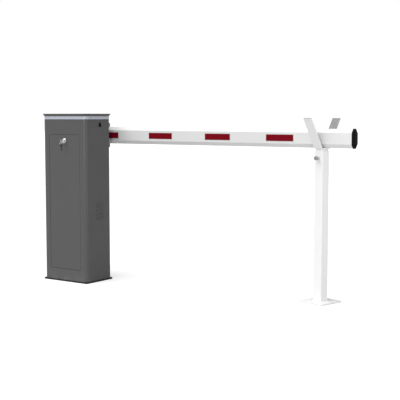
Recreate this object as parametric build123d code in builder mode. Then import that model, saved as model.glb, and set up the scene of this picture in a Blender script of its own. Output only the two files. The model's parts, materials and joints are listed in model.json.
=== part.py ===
from build123d import *

import os
from math import cos, hypot, radians, sin

# Parking boom barrier: cabinet with drive, octagonal boom and fork post.
# Millimetres.  +X runs along the lowered boom, +Z is up, -Y is the door side.
# The origin is the centre of the cabinet's anchor pattern, on the ground.

# ---- cabinet ----
cabinet_width = 340.0
cabinet_depth = 230.0
cabinet_height = 1000.0
corner_radius = 28.0
sheet = 2.0
shell_flange = 14.0
base_plate_height = 10.0
base_plate_margin = 2.0
base_plate_corner = 4.0
cable_entry_width = 160.0
cable_entry_depth = 90.0
anchor_spacing_x = 260.0
anchor_spacing_y = 150.0
anchor_hole_radius = 7.0
seam_height = 2.0
seam_recess = 1.5
seam_width = 10.0
band_height = 18.0
band_wall = 4.0
lid_height = 15.0
lid_lip = 3.0
lid_overhang = 9.0
lid_wall = 2.5

# ---- door ----
door_width = 238.0
door_height = 800.0
door_bottom = 77.0
door_offset = 4.0
door_gap = 1.5
door_corner = 8.0
door_return = 14.0
frame_wall = 3.0
frame_flange = 12.0
seal_height = 2.7
seal_width = 9.0
tab_width = 28.0
tab_height = 9.0
tab_setback = 7.0
tab_spacing = 150.0
fit_gap = 0.3

# ---- lock on the door ----
lock_drop = 36.0
rosette_radius = 15.0
rosette_height = 3.0
cylinder_radius = 10.0
cylinder_proud = 7.0
lock_body_radius = 9.0
cam_length = 22.0
cam_width = 14.0
cam_thickness = 2.5
key_bow_radius = 9.0
key_thickness = 2.2
key_reach = 22.0
key_hole_radius = 3.0
ring_radius = 8.0
ring_wire = 1.0
ring_play = 1.0
spare_key_length = 32.0
key_tooth_pitch = 3.0
key_tooth_count = 5

# ---- keyhole and louvres on the sides ----
keyhole_height = 932.0
keyhole_offset = 14.0
keyhole_radius = 6.0
cover_radius = 10.5
cover_tip_radius = 5.0
cover_rise = 12.0
cover_thickness = 3.0
louvre_count = 5
louvre_pitch = 23.5
louvre_top = 474.0
louvre_length = 60.0
louvre_rise = 11.0
louvre_proud = 5.0
louvre_wall = 1.4
louvre_offset = 8.0
vent_hole_radius = 2.6
vent_hole_height = 501.0

# ---- boom ----
boom_height = 100.0
boom_thickness = 45.0
boom_bevel_y = 15.0
boom_bevel_z = 20.0
boom_wall = 2.0
boom_axis_height = 870.0
boom_setback = 75.0
boom_rear = 130.0
boom_reach = 1749.0
end_cap_length = 18.0
end_cap_lip = 1.5
end_cap_plug = 30.0
strip_length = 168.0
strip_height = 35.0
strip_pitch = 402.0
strip_last = 1306.0
strip_count = 4
strip_film = 0.4
strip_border = 3.0

# ---- drive ----
shaft_radius = 15.0
running_clearance = 0.05
shaft_front = -58.0
plate_thickness = 6.0
plate_half_width = 128.0
front_plate_face = -54.0
front_plate_bottom = 548.0
front_plate_top = 935.0
bearing_radius = 26.0
bearing_width = 14.0
housing_radius = 42.0
housing_depth = 20.0
link_radius = 60.0
drive_drop = 270.0
crank_thickness = 12.0
link_setback = 4.0
link_thickness = 8.0
link_gap = 1.0
link_eye_radius = 15.0
link_pin_radius = 8.0
hub_radius = 24.0
rest_link_angle = -45.0
lever_radius = 80.0
lever_thickness = 12.0
lever_centre = 51.0
lever_pin_radius = 7.0
rest_lever_angle = 135.0
spring_offset = 16.0
spring_coil_radius = 13.0
spring_wire_radius = 2.0
spring_turns = 34
spring_bottom = 330.0
hanger_length = 46.0
hanger_thickness = 8.0
shelf_height = 280.0
output_radius = 12.0
gearbox_width = 96.0
gearbox_height = 112.0
gearbox_depth = 46.0
gearbox_rib_count = 4
gearbox_rib_pitch = 9.0
gearbox_rib_gap = 3.0
motor_radius = 37.0
motor_core_radius = 31.5
motor_fin_count = 24
motor_fin_thickness = 2.0
motor_length = 130.0
fan_cover_length = 26.0
fan_cover_rim = 6.0
fan_slot_count = 10
fan_slot_width = 3.0
tie_bar_radius = 8.0
tie_bar_x = 108.0
wall_bolt_x = 100.0
wall_bolt_heights = [60.0, 500.0, 915.0]
bolt_radius = 4.0
bolt_head_radius = 6.5
bolt_head_height = 5.0

# ---- controls ----
control_plate_width = 220.0
control_plate_bottom = 90.0
control_plate_top = 370.0
control_plate_face = -8.0
control_box_width = 180.0
control_box_height = 200.0
control_box_depth = 50.0
control_box_wall = 3.0

# ---- hub and holder ----
hub_flange_radius = 44.0
hub_flange_thickness = 10.0
holder_length = 150.0
holder_plate = 6.0
holder_bolt_radius = 5.0

# ---- post and fork ----
post_distance = 1550.0
post_turn = -14.0
post_width = 54.0
post_wall = 3.0
post_top_gap = 8.5
post_plate_width = 160.0
post_plate_height = 10.0
post_hole_spacing = 116.0
post_hole_radius = 6.0
stem_clearance = 0.5
stem_wall = 3.0
stem_bottom = 560.0
fork_plate = 5.0
fork_arm_length = 180.0
fork_arm_angle = 29.0
seat_gap = 0.5
clamp_drop = 39.0
clamp_bolt_radius = 5.0
clamp_head_radius = 11.0
clamp_head_height = 8.0
clamp_nut_height = 12.0
clamp_neck = 6.0

# ---- places worked out from the sizes above ----
shell_top = cabinet_height - lid_height - band_height - seam_height
front_face = -cabinet_depth / 2
back_face = cabinet_depth / 2
inner_back = back_face - sheet
boom_centre = back_face + boom_setback
boom_front = boom_centre - boom_thickness / 2
boom_bottom = boom_axis_height - boom_height / 2
drive_height = boom_axis_height - drive_drop
door_top = door_bottom + door_height
door_centre = door_bottom + door_height / 2
lock_height = door_top - lock_drop
frame_back = front_face + door_return + fit_gap + seal_height + sheet
back_plate_face = inner_back - plate_thickness
link_front = link_setback
seat_top = boom_bottom - seat_gap
wall_bolt_places = [(turn * wall_bolt_x, height) for turn in (1, -1) for height in wall_bolt_heights]


def facing(depth):
    """Upright plane at the given depth, seen from the front, so X reads right and Z up."""
    return Plane.XZ.offset(-depth)


def side(distance):
    """Upright plane across the cabinet at the given X, so Y reads right and Z up."""
    return Plane.YZ.offset(distance)


def polar(radius, angle):
    """Point at a radius and angle from the boom axis, in X and Z."""
    return (radius * cos(radians(angle)), boom_axis_height + radius * sin(radians(angle)))


def octagon_points(grow):
    """Corners of the boom's section in Y and Z about its centre, its sides moved outwards by grow."""
    bevel = hypot(boom_bevel_y, boom_bevel_z)
    half_y = boom_thickness / 2 + grow
    half_z = boom_height / 2 + grow
    flat_y = boom_thickness / 2 - boom_bevel_y + grow * (bevel - boom_bevel_y) / boom_bevel_z
    flat_z = boom_height / 2 - boom_bevel_z + grow * (bevel - boom_bevel_z) / boom_bevel_y
    return [
        (-flat_y, half_z),
        (flat_y, half_z),
        (half_y, flat_z),
        (half_y, -flat_z),
        (flat_y, -half_z),
        (-flat_y, -half_z),
        (-half_y, -flat_z),
        (-half_y, flat_z),
    ]


os.makedirs("parts", exist_ok=True)

# ================= cabinet =================

with BuildPart() as base_plate:
    with BuildSketch(Plane.XY):
        RectangleRounded(
            cabinet_width + 2 * base_plate_margin,
            cabinet_depth + 2 * base_plate_margin,
            base_plate_corner,
        )
        Rectangle(cable_entry_width, cable_entry_depth, mode=Mode.SUBTRACT)
        with GridLocations(anchor_spacing_x, anchor_spacing_y, 2, 2):
            Circle(anchor_hole_radius, mode=Mode.SUBTRACT)
    extrude(amount=base_plate_height)
    chamfer(base_plate.faces().sort_by(Axis.Z)[-1].outer_wire().edges(), length=1)
base_plate.part.label = "base_plate"
export_step(base_plate.part, "parts/base_plate.step")


with BuildPart() as louvre_hood:
    with BuildSketch(Plane.XZ):
        with BuildLine():
            EllipticalCenterArc((0, 0), louvre_proud, louvre_rise, arc_size=90)
            Line((0, louvre_rise), (0, 0))
            Line((0, 0), (louvre_proud, 0))
        make_face()
    extrude(amount=louvre_length / 2, both=True)
    fillet(louvre_hood.faces().filter_by(GeomType.PLANE).group_by(Axis.Y)[0].edges()
           .filter_by(GeomType.ELLIPSE), radius=louvre_wall * 2)
    fillet(louvre_hood.faces().filter_by(GeomType.PLANE).group_by(Axis.Y)[-1].edges()
           .filter_by(GeomType.ELLIPSE), radius=louvre_wall * 2)

with BuildPart() as louvre_hollow:
    with BuildSketch(Plane.XZ):
        with BuildLine():
            EllipticalCenterArc((0, 0), louvre_proud - louvre_wall, louvre_rise - louvre_wall, arc_size=90)
            Polyline((0, louvre_rise - louvre_wall), (-sheet * 2, louvre_rise - louvre_wall),
                     (-sheet * 2, 0), (louvre_proud - louvre_wall, 0))
        make_face()
    extrude(amount=louvre_length / 2 - louvre_wall * 2, both=True)

louvre_heights = [louvre_top - louvre_pitch * i - louvre_rise / 2 for i in range(louvre_count)]
louvre_places = [
    Location((turn * cabinet_width / 2, louvre_offset, height), (0, 0, 0 if turn > 0 else 180))
    for turn in (1, -1)
    for height in louvre_heights
]

with BuildPart() as cabinet_shell:
    with BuildSketch(Plane.XY.offset(base_plate_height)):
        RectangleRounded(cabinet_width, cabinet_depth, corner_radius)
    extrude(amount=shell_top - base_plate_height)
    inner_width = cabinet_width - 2 * sheet
    inner_depth = cabinet_depth - 2 * sheet
    with BuildSketch(Plane.XY.offset(base_plate_height + sheet)):
        RectangleRounded(inner_width, inner_depth, corner_radius - sheet)
    extrude(amount=shell_top - base_plate_height - 2 * sheet, mode=Mode.SUBTRACT)
    with BuildSketch(Plane.XY.offset(base_plate_height)):
        RectangleRounded(
            cabinet_width - 2 * shell_flange, cabinet_depth - 2 * shell_flange, corner_radius - shell_flange
        )
    extrude(amount=shell_top - base_plate_height, mode=Mode.SUBTRACT)
    with BuildSketch(facing(front_face)):
        with Locations((door_offset, door_centre)):
            RectangleRounded(door_width + 2 * door_gap, door_height + 2 * door_gap, door_corner + door_gap)
    extrude(amount=-sheet, mode=Mode.SUBTRACT)
    with BuildSketch(facing(inner_back)):
        with Locations((0, boom_axis_height)):
            Circle(shaft_radius + fit_gap * 4)
        with Locations(*wall_bolt_places):
            Circle(bolt_radius)
    extrude(amount=-sheet, mode=Mode.SUBTRACT)
    with BuildSketch(side(cabinet_width / 2)):
        with Locations((keyhole_offset, keyhole_height)):
            Circle(keyhole_radius)
        with Locations((louvre_offset, vent_hole_height)):
            Circle(vent_hole_radius)
    extrude(amount=-sheet, mode=Mode.SUBTRACT)
    with Locations(*louvre_places):
        add(louvre_hood.part)
    with Locations(*louvre_places):
        add(louvre_hollow.part, mode=Mode.SUBTRACT)
cabinet_shell.part.label = "cabinet_shell"
export_step(cabinet_shell.part, "parts/cabinet_shell.step")

opening_width = door_width + 2 * door_gap
opening_height = door_height + 2 * door_gap
opening_corner = door_corner + door_gap
frame_front = front_face + sheet

with BuildPart() as door_frame:
    with BuildSketch(facing(frame_front)):
        with Locations((door_offset, door_centre)):
            RectangleRounded(
                opening_width + 2 * frame_wall, opening_height + 2 * frame_wall, opening_corner + frame_wall
            )
    extrude(amount=-(frame_back - frame_front))
    with BuildSketch(facing(frame_front)):
        with Locations((door_offset, door_centre)):
            RectangleRounded(opening_width, opening_height, opening_corner)
    extrude(amount=-(frame_back - frame_front - sheet), mode=Mode.SUBTRACT)
    with BuildSketch(facing(frame_front)):
        with Locations((door_offset, door_centre)):
            Rectangle(opening_width - 2 * frame_flange, opening_height - 2 * frame_flange)
    extrude(amount=-(frame_back - frame_front), mode=Mode.SUBTRACT)
    slot_front = front_face + tab_setback - door_gap
    slot_back = frame_back - sheet
    with BuildSketch(Plane.XY.offset(door_bottom - door_gap - frame_wall)):
        with Locations((door_offset, (slot_front + slot_back) / 2)):
            with GridLocations(tab_spacing, 0, 2, 1):
                Rectangle(tab_width + 4, slot_back - slot_front)
    extrude(amount=frame_wall, mode=Mode.SUBTRACT)
door_frame.part.label = "door_frame"
export_step(door_frame.part, "parts/door_frame.step")

with BuildPart() as door_seal:
    with BuildSketch(facing(frame_back - sheet - seal_height)):
        with Locations((door_offset, door_centre)):
            RectangleRounded(door_width, door_height, door_corner)
            Rectangle(door_width - 2 * seal_width, door_height - 2 * seal_width, mode=Mode.SUBTRACT)
    extrude(amount=-seal_height)
door_seal.part.label = "door_seal"
export_step(door_seal.part, "parts/door_seal.step")

with BuildPart() as band_gasket:
    with BuildSketch(Plane.XY.offset(shell_top)):
        RectangleRounded(
            cabinet_width - 2 * seam_recess, cabinet_depth - 2 * seam_recess, corner_radius - seam_recess
        )
        RectangleRounded(
            cabinet_width - 2 * (seam_recess + seam_width),
            cabinet_depth - 2 * (seam_recess + seam_width),
            corner_radius - seam_recess - seam_width,
            mode=Mode.SUBTRACT,
        )
    extrude(amount=seam_height)
band_gasket.part.label = "band_gasket"
export_step(band_gasket.part, "parts/band_gasket.step")

band_bottom = shell_top + seam_height

with BuildPart() as led_diffuser:
    with BuildSketch(Plane.XY.offset(band_bottom)):
        RectangleRounded(cabinet_width, cabinet_depth, corner_radius)
        RectangleRounded(
            cabinet_width - 2 * band_wall,
            cabinet_depth - 2 * band_wall,
            corner_radius - band_wall,
            mode=Mode.SUBTRACT,
        )
    extrude(amount=band_height)
led_diffuser.part.label = "led_diffuser"
export_step(led_diffuser.part, "parts/led_diffuser.step")

lid_bottom = cabinet_height - lid_height
lid_width = cabinet_width + 2 * lid_overhang
lid_depth = cabinet_depth + 2 * lid_overhang
lid_corner = corner_radius + lid_overhang

with BuildPart() as lid:
    with BuildSketch(Plane.XY.offset(lid_bottom)):
        RectangleRounded(cabinet_width, cabinet_depth, corner_radius)
    with BuildSketch(Plane.XY.offset(cabinet_height - lid_lip)):
        RectangleRounded(lid_width, lid_depth, lid_corner)
    loft()
    with BuildSketch(Plane.XY.offset(cabinet_height - lid_lip)):
        RectangleRounded(lid_width, lid_depth, lid_corner)
    extrude(amount=lid_lip)
    fillet(lid.faces().sort_by(Axis.Z)[-1].outer_wire().edges(), radius=lid_lip / 2)
    pocket = band_wall + 2 * sheet
    with BuildSketch(Plane.XY.offset(lid_bottom)):
        RectangleRounded(cabinet_width - 2 * pocket, cabinet_depth - 2 * pocket, corner_radius - pocket)
    extrude(amount=lid_height - lid_wall, mode=Mode.SUBTRACT)
lid.part.label = "lid"
export_step(lid.part, "parts/lid.step")

# ================= door and lock =================

with BuildPart() as door_panel:
    with BuildSketch(facing(front_face)):
        with Locations((door_offset, door_centre)):
            RectangleRounded(door_width, door_height, door_corner)
    extrude(amount=-door_return)
    with BuildSketch(facing(front_face + sheet)):
        with Locations((door_offset, door_centre)):
            RectangleRounded(door_width - 2 * sheet, door_height - 2 * sheet, door_corner - sheet)
    extrude(amount=-(door_return - sheet), mode=Mode.SUBTRACT)
    with BuildSketch(Plane.XY.offset(door_bottom - tab_height)):
        with Locations((door_offset, front_face + tab_setback + sheet / 2)):
            with GridLocations(tab_spacing, 0, 2, 1):
                Rectangle(tab_width, sheet)
    extrude(amount=tab_height + sheet)
    with BuildSketch(facing(front_face)):
        with Locations((door_offset, lock_height)):
            Circle(lock_body_radius)
    extrude(amount=-sheet, mode=Mode.SUBTRACT)
    front_rim = door_panel.faces().filter_by(Axis.Y).sort_by(Axis.Y)[0].outer_wire().edges()
    fillet(front_rim, radius=sheet * 0.4)
door_panel.part.label = "door_panel"
export_step(door_panel.part, "parts/door_panel.step")

with BuildPart() as door_stiffener:
    stiffener_width = 60.0
    stiffener_depth = 10.0
    with BuildSketch(facing(front_face + sheet)):
        with Locations((door_offset, door_centre - lock_drop)):
            Rectangle(stiffener_width, door_height - 4 * lock_drop)
    extrude(amount=-stiffener_depth)
    with BuildSketch(facing(front_face + sheet)):
        with Locations((door_offset, door_centre - lock_drop)):
            Rectangle(stiffener_width - 2 * sheet, door_height - 4 * lock_drop)
    extrude(amount=-(stiffener_depth - sheet), mode=Mode.SUBTRACT)
door_stiffener.part.label = "door_stiffener"
export_step(door_stiffener.part, "parts/door_stiffener.step")

lock_bore = lock_body_radius - sheet
barrel_radius = lock_bore - running_clearance
cam_face = front_face + door_return - cam_thickness - sheet

with BuildPart() as lock_rosette:
    with BuildSketch(facing(front_face)):
        with Locations((door_offset, lock_height)):
            Circle(rosette_radius)
    extrude(amount=rosette_height)
    chamfer(lock_rosette.faces().sort_by(Axis.Y)[0].edges(), length=rosette_height * 0.4)
    with BuildSketch(facing(front_face)):
        with Locations((door_offset, lock_height)):
            Circle(lock_body_radius)
    extrude(amount=-(cam_face - front_face - link_gap))
    with BuildSketch(facing(front_face - rosette_height)):
        with Locations((door_offset, lock_height)):
            Circle(lock_bore)
    extrude(amount=-(cam_face - front_face + rosette_height), mode=Mode.SUBTRACT)
lock_rosette.part.label = "lock_rosette"
export_step(lock_rosette.part, "parts/lock_rosette.step")

face_of_lock = front_face - rosette_height - cylinder_proud
collar_gap = fit_gap

with BuildPart() as lock_cylinder:
    with BuildSketch(facing(front_face - rosette_height - collar_gap)):
        with Locations((door_offset, lock_height)):
            Circle(cylinder_radius)
    extrude(amount=cylinder_proud - collar_gap)
    chamfer(lock_cylinder.faces().sort_by(Axis.Y)[0].edges(), length=1.2)
    with BuildSketch(facing(front_face - rosette_height - collar_gap)):
        with Locations((door_offset, lock_height)):
            Circle(barrel_radius)
    extrude(amount=-(cam_face - front_face + rosette_height + collar_gap))
lock_cylinder.part.label = "lock_cylinder"
export_step(lock_cylinder.part, "parts/lock_cylinder.step")

with BuildPart() as lock_cam:
    with BuildSketch(facing(cam_face)):
        with Locations((door_offset, lock_height)):
            Circle(cam_width / 2 + 1)
        with Locations((door_offset, lock_height - cam_length / 2)):
            Rectangle(cam_width, cam_length)
    extrude(amount=-cam_thickness)
    fillet(lock_cam.edges().filter_by(Axis.Y).group_by(Axis.Z)[0], radius=3)
lock_cam.part.label = "lock_cam"
export_step(lock_cam.part, "parts/lock_cam.step")

bow_centre = face_of_lock - key_reach + key_bow_radius
hole_inset = key_bow_radius * 0.35
hole_y = bow_centre - hole_inset
hole_z = lock_height - hole_inset
key_blade_width = key_bow_radius * 0.9

with BuildPart() as key:
    with BuildSketch(side(door_offset)):
        with Locations((bow_centre, lock_height)):
            Circle(key_bow_radius)
        with Locations(((face_of_lock + bow_centre) / 2, lock_height)):
            Rectangle(abs(face_of_lock - bow_centre), key_blade_width)
        with Locations((hole_y, hole_z)):
            Circle(key_hole_radius, mode=Mode.SUBTRACT)
    extrude(amount=key_thickness / 2, both=True)
key.part.label = "key"
export_step(key.part, "parts/key.step")

ring_centre_z = hole_z - key_hole_radius + ring_wire + ring_play - ring_radius

with BuildPart() as key_ring:
    with Locations(Location((door_offset, hole_y, ring_centre_z), (90, 0, 0))):
        Torus(ring_radius, ring_wire)
key_ring.part.label = "key_ring"
export_step(key_ring.part, "parts/key_ring.step")

spare_hole_z = ring_centre_z - ring_radius + ring_wire + fit_gap - key_hole_radius
spare_bow_z = spare_hole_z - key_bow_radius + key_hole_radius * 1.8
spare_blade_end = spare_bow_z - spare_key_length
spare_tooth_places = [
    (hole_y + key_blade_width / 2, spare_blade_end + key_tooth_pitch * (i + 0.5))
    for i in range(key_tooth_count)
]

with BuildPart() as spare_key:
    with BuildSketch(side(door_offset)):
        with Locations((hole_y, spare_bow_z)):
            Circle(key_bow_radius)
        with Locations((hole_y, spare_bow_z - spare_key_length / 2)):
            Rectangle(key_blade_width, spare_key_length)
        with Locations((hole_y, spare_hole_z)):
            Circle(key_hole_radius, mode=Mode.SUBTRACT)
        with Locations(*spare_tooth_places):
            Circle(key_tooth_pitch * 0.4, mode=Mode.SUBTRACT)
    extrude(amount=key_thickness / 2, both=True)
spare_key.part.label = "spare_key"
export_step(spare_key.part, "parts/spare_key.step")

# ================= manual release on the side =================

cover_face = cabinet_width / 2 + fit_gap
cover_pivot_z = keyhole_height + cover_rise

with BuildPart() as release_cover:
    with BuildSketch(side(cover_face)):
        with Locations((keyhole_offset, keyhole_height)):
            Circle(cover_radius)
        with Locations((keyhole_offset, cover_pivot_z)):
            Circle(cover_tip_radius)
        make_hull()
    extrude(amount=cover_thickness)
    fillet(release_cover.faces().sort_by(Axis.X)[-1].outer_wire().edges(), radius=cover_thickness * 0.4)
    with BuildSketch(side(cover_face + cover_thickness)):
        with Locations((keyhole_offset, cover_pivot_z)):
            Circle(cover_tip_radius * 0.6)
    extrude(amount=sheet / 2)
    fillet(release_cover.faces().sort_by(Axis.X)[-1].edges(), radius=sheet * 0.4)
release_cover.part.label = "release_cover"
export_step(release_cover.part, "parts/release_cover.step")

spindle_radius = keyhole_radius - 1.0
bush_length = 18.0
bush_end = cabinet_width / 2 - sheet - bush_length
spindle_lever_length = 28.0

with BuildPart() as release_bush:
    with BuildSketch(side(bush_end)):
        with Locations((keyhole_offset, keyhole_height)):
            Circle(keyhole_radius + 2 * sheet)
            Circle(spindle_radius + running_clearance, mode=Mode.SUBTRACT)
    extrude(amount=bush_length)
release_bush.part.label = "release_bush"
export_step(release_bush.part, "parts/release_bush.step")

with BuildPart() as release_spindle:
    with BuildSketch(side(bush_end - fit_gap - frame_wall)):
        with Locations((keyhole_offset, keyhole_height)):
            Circle(keyhole_radius + sheet)
        with Locations((keyhole_offset - spindle_lever_length, keyhole_height)):
            Circle(keyhole_radius)
        make_hull()
    extrude(amount=frame_wall)
    with BuildSketch(side(bush_end - fit_gap)):
        with Locations((keyhole_offset, keyhole_height)):
            Circle(spindle_radius)
    extrude(amount=bush_length + fit_gap + sheet / 2)
    with BuildSketch(side(cabinet_width / 2 - sheet * 1.5)):
        with Locations((keyhole_offset, keyhole_height)):
            RegularPolygon(spindle_radius * 0.7, 3)
    extrude(amount=sheet * 2, mode=Mode.SUBTRACT)
release_spindle.part.label = "release_spindle"
export_step(release_spindle.part, "parts/release_spindle.step")

# ================= drive frame =================

back_plate_bottom = base_plate_height + sheet
back_plate_top = front_plate_top
bearing_bore = shaft_radius + running_clearance
plate_bore = shaft_radius + 2 * sheet
bolt_circle = housing_radius - 8.0

with BuildPart() as back_plate:
    with BuildSketch(facing(back_plate_face)):
        with Locations((0, (back_plate_bottom + back_plate_top) / 2)):
            Rectangle(2 * plate_half_width, back_plate_top - back_plate_bottom)
        with Locations((0, boom_axis_height)):
            Circle(plate_bore, mode=Mode.SUBTRACT)
        with Locations(*wall_bolt_places):
            Circle(bolt_radius, mode=Mode.SUBTRACT)
    extrude(amount=-plate_thickness)
back_plate.part.label = "back_plate"
export_step(back_plate.part, "parts/back_plate.step")

with BuildPart() as front_plate:
    front_plate_height = front_plate_top - front_plate_bottom
    with BuildSketch(facing(front_plate_face)):
        with Locations((0, front_plate_bottom + front_plate_height / 2)):
            RectangleRounded(2 * plate_half_width, front_plate_height, corner_radius / 2)
        with Locations((0, boom_axis_height)):
            Circle(plate_bore, mode=Mode.SUBTRACT)
        with Locations((0, drive_height + drive_drop / 2)):
            SlotOverall(plate_half_width * 1.2, housing_radius * 1.5, mode=Mode.SUBTRACT)
    extrude(amount=plate_thickness)
front_plate.part.label = "front_plate"
export_step(front_plate.part, "parts/front_plate.step")

plate_bar_inset = 32.0
control_bar_x = 95.0
control_bar_inset = 20.0
control_bar_radius = tie_bar_radius * 0.6
plate_bar_heights = [front_plate_bottom + plate_bar_inset, front_plate_top - plate_bar_inset]
control_bar_heights = [control_plate_bottom + control_bar_inset, control_plate_top - control_bar_inset]
plate_bar_places = [(turn * tie_bar_x, height) for turn in (1, -1) for height in plate_bar_heights]
control_bar_places = [(turn * control_bar_x, height) for turn in (1, -1) for height in control_bar_heights]
control_plate_back = control_plate_face + sheet

with BuildPart() as tie_bars:
    with BuildSketch(facing(back_plate_face)):
        with Locations(*plate_bar_places):
            Circle(tie_bar_radius)
    extrude(amount=back_plate_face - front_plate_face)
    with BuildSketch(facing(back_plate_face)):
        with Locations(*control_bar_places):
            Circle(control_bar_radius)
    extrude(amount=back_plate_face - control_plate_back)
tie_bars.part.label = "tie_bars"
export_step(tie_bars.part, "parts/tie_bars.step")

with BuildPart() as bearing_housing:
    with BuildSketch(Plane.XY):
        Circle(housing_radius)
        Circle(plate_bore, mode=Mode.SUBTRACT)
        with PolarLocations(bolt_circle, 4, start_angle=45):
            Circle(bolt_radius, mode=Mode.SUBTRACT)
    extrude(amount=housing_depth)
    with BuildSketch(Plane.XY.offset(housing_depth - bearing_width)):
        Circle(bearing_radius)
    extrude(amount=bearing_width, mode=Mode.SUBTRACT)
    chamfer(bearing_housing.faces().sort_by(Axis.Z)[-1].outer_wire().edges(), length=2)

with BuildPart() as shaft_bearing:
    with BuildSketch(Plane.XY.offset(housing_depth - bearing_width)):
        Circle(bearing_radius)
        Circle(bearing_bore, mode=Mode.SUBTRACT)
    extrude(amount=bearing_width)

with BuildPart() as housing_bolt:
    with BuildSketch(Plane.XY):
        with PolarLocations(bolt_circle, 4, start_angle=45):
            Circle(bolt_radius)
    extrude(amount=housing_depth)
    with BuildSketch(Plane.XY.offset(housing_depth)):
        with PolarLocations(bolt_circle, 4, start_angle=45):
            RegularPolygon(bolt_head_radius, 6)
    extrude(amount=bolt_head_height)

on_front_plate = Location((0, front_plate_face, boom_axis_height), (-90, 0, 0))
on_back_plate = Location((0, back_plate_face, boom_axis_height), (90, 0, 0))

with BuildPart() as bearing_housings:
    with Locations(on_front_plate, on_back_plate):
        add(bearing_housing.part)
bearing_housings.part.label = "bearing_housings"
export_step(bearing_housings.part, "parts/bearing_housings.step")

with BuildPart() as shaft_bearings:
    with Locations(on_front_plate, on_back_plate):
        add(shaft_bearing.part)
shaft_bearings.part.label = "shaft_bearings"
export_step(shaft_bearings.part, "parts/shaft_bearings.step")

floor_bolt_x = cabinet_width / 2 - sheet - 5.5
floor_bolt_y = 60.0
floor_bolt_radius = 3.0

with BuildPart() as frame_bolts:
    with Locations(on_front_plate, on_back_plate):
        add(housing_bolt.part)
    with BuildSketch(facing(back_plate_face)):
        with Locations(*wall_bolt_places):
            Circle(bolt_radius)
    extrude(amount=-(plate_thickness + sheet))
    with BuildSketch(facing(back_face)):
        with Locations(*wall_bolt_places):
            RegularPolygon(bolt_head_radius, 6)
    extrude(amount=-bolt_head_height)
    with BuildSketch(Plane.XY.offset(back_plate_bottom)):
        with GridLocations(2 * floor_bolt_x, 2 * floor_bolt_y, 2, 2):
            RegularPolygon(floor_bolt_radius * 1.6, 6)
    extrude(amount=bolt_head_height)
frame_bolts.part.label = "frame_bolts"
export_step(frame_bolts.part, "parts/frame_bolts.step")

# ================= gear motor, crank and rod =================

gearbox_back = front_plate_face + gearbox_depth
motor_centre = front_plate_face + gearbox_depth / 2
motor_top = drive_height - gearbox_height / 2

with BuildPart() as gearbox_housing:
    with BuildSketch(facing(front_plate_face)):
        with Locations((0, drive_height)):
            RectangleRounded(gearbox_width, gearbox_height, corner_radius / 2)
    extrude(amount=-gearbox_depth)
    with BuildSketch(facing(gearbox_back)):
        with Locations((0, drive_height)):
            Circle(hub_radius)
    extrude(amount=-(link_front - gearbox_back - link_gap))
    with BuildSketch(facing(link_front)):
        with Locations((0, drive_height)):
            Circle(output_radius + running_clearance)
    extrude(amount=link_front - gearbox_back + gearbox_depth / 2 + link_gap, mode=Mode.SUBTRACT)
    with BuildSketch(side(gearbox_width / 2)):
        with Locations((motor_centre, drive_height)):
            with GridLocations(gearbox_rib_pitch, 0, gearbox_rib_count, 1):
                Rectangle(gearbox_rib_gap, gearbox_height * 0.6)
    extrude(amount=-sheet, mode=Mode.SUBTRACT)
gearbox_housing.part.label = "gearbox_housing"
export_step(gearbox_housing.part, "parts/gearbox_housing.step")

with BuildPart() as motor_body:
    with BuildSketch(Plane.XY.offset(motor_top)):
        with Locations((0, motor_centre)):
            Circle(motor_core_radius)
            with PolarLocations(motor_core_radius, motor_fin_count):
                Rectangle(2 * (motor_radius - motor_core_radius), motor_fin_thickness)
    extrude(amount=-motor_length)
motor_body.part.label = "motor_body"
export_step(motor_body.part, "parts/motor_body.step")

with BuildPart() as motor_fan_cover:
    with BuildSketch(Plane.XY.offset(motor_top - motor_length)):
        with Locations((0, motor_centre)):
            Circle(motor_radius)
    extrude(amount=-fan_cover_length)
    fillet(motor_fan_cover.faces().sort_by(Axis.Z)[0].edges(), radius=fan_cover_rim)
    with BuildSketch(Plane.XY.offset(motor_top - motor_length - fan_cover_length)):
        with Locations((0, motor_centre)):
            with PolarLocations(motor_radius / 2, fan_slot_count):
                SlotOverall(motor_radius * 0.45, fan_slot_width)
    extrude(amount=fan_cover_length / 2, mode=Mode.SUBTRACT)
motor_fan_cover.part.label = "motor_fan_cover"
export_step(motor_fan_cover.part, "parts/motor_fan_cover.step")

rest_pin_x = link_radius * cos(radians(rest_link_angle))
rest_pin_drop = link_radius * sin(radians(rest_link_angle))
link_back = link_front + crank_thickness
rod_front = link_back + link_gap
rod_back = rod_front + link_thickness
pin_back = rod_back + 2 * link_gap

with BuildPart() as output_shaft:
    with BuildSketch(facing(gearbox_back - gearbox_depth / 2)):
        with Locations((0, drive_height)):
            Circle(output_radius)
    extrude(amount=-(link_back - gearbox_back + gearbox_depth / 2 + link_gap))
output_shaft.part.label = "output_shaft"
export_step(output_shaft.part, "parts/output_shaft.step")

with BuildPart() as crank_arm:
    with BuildSketch(facing(link_front)):
        with Locations((0, drive_height)):
            Circle(hub_radius)
        with Locations((rest_pin_x, drive_height + rest_pin_drop)):
            Circle(link_eye_radius)
        make_hull()
        with Locations((0, drive_height)):
            Circle(output_radius, mode=Mode.SUBTRACT)
    extrude(amount=-crank_thickness)
    with BuildSketch(facing(link_back)):
        with Locations((rest_pin_x, drive_height + rest_pin_drop)):
            Circle(link_pin_radius)
    extrude(amount=-(pin_back - link_back))
crank_arm.part.label = "crank_arm"
export_step(crank_arm.part, "parts/crank_arm.step")

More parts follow.
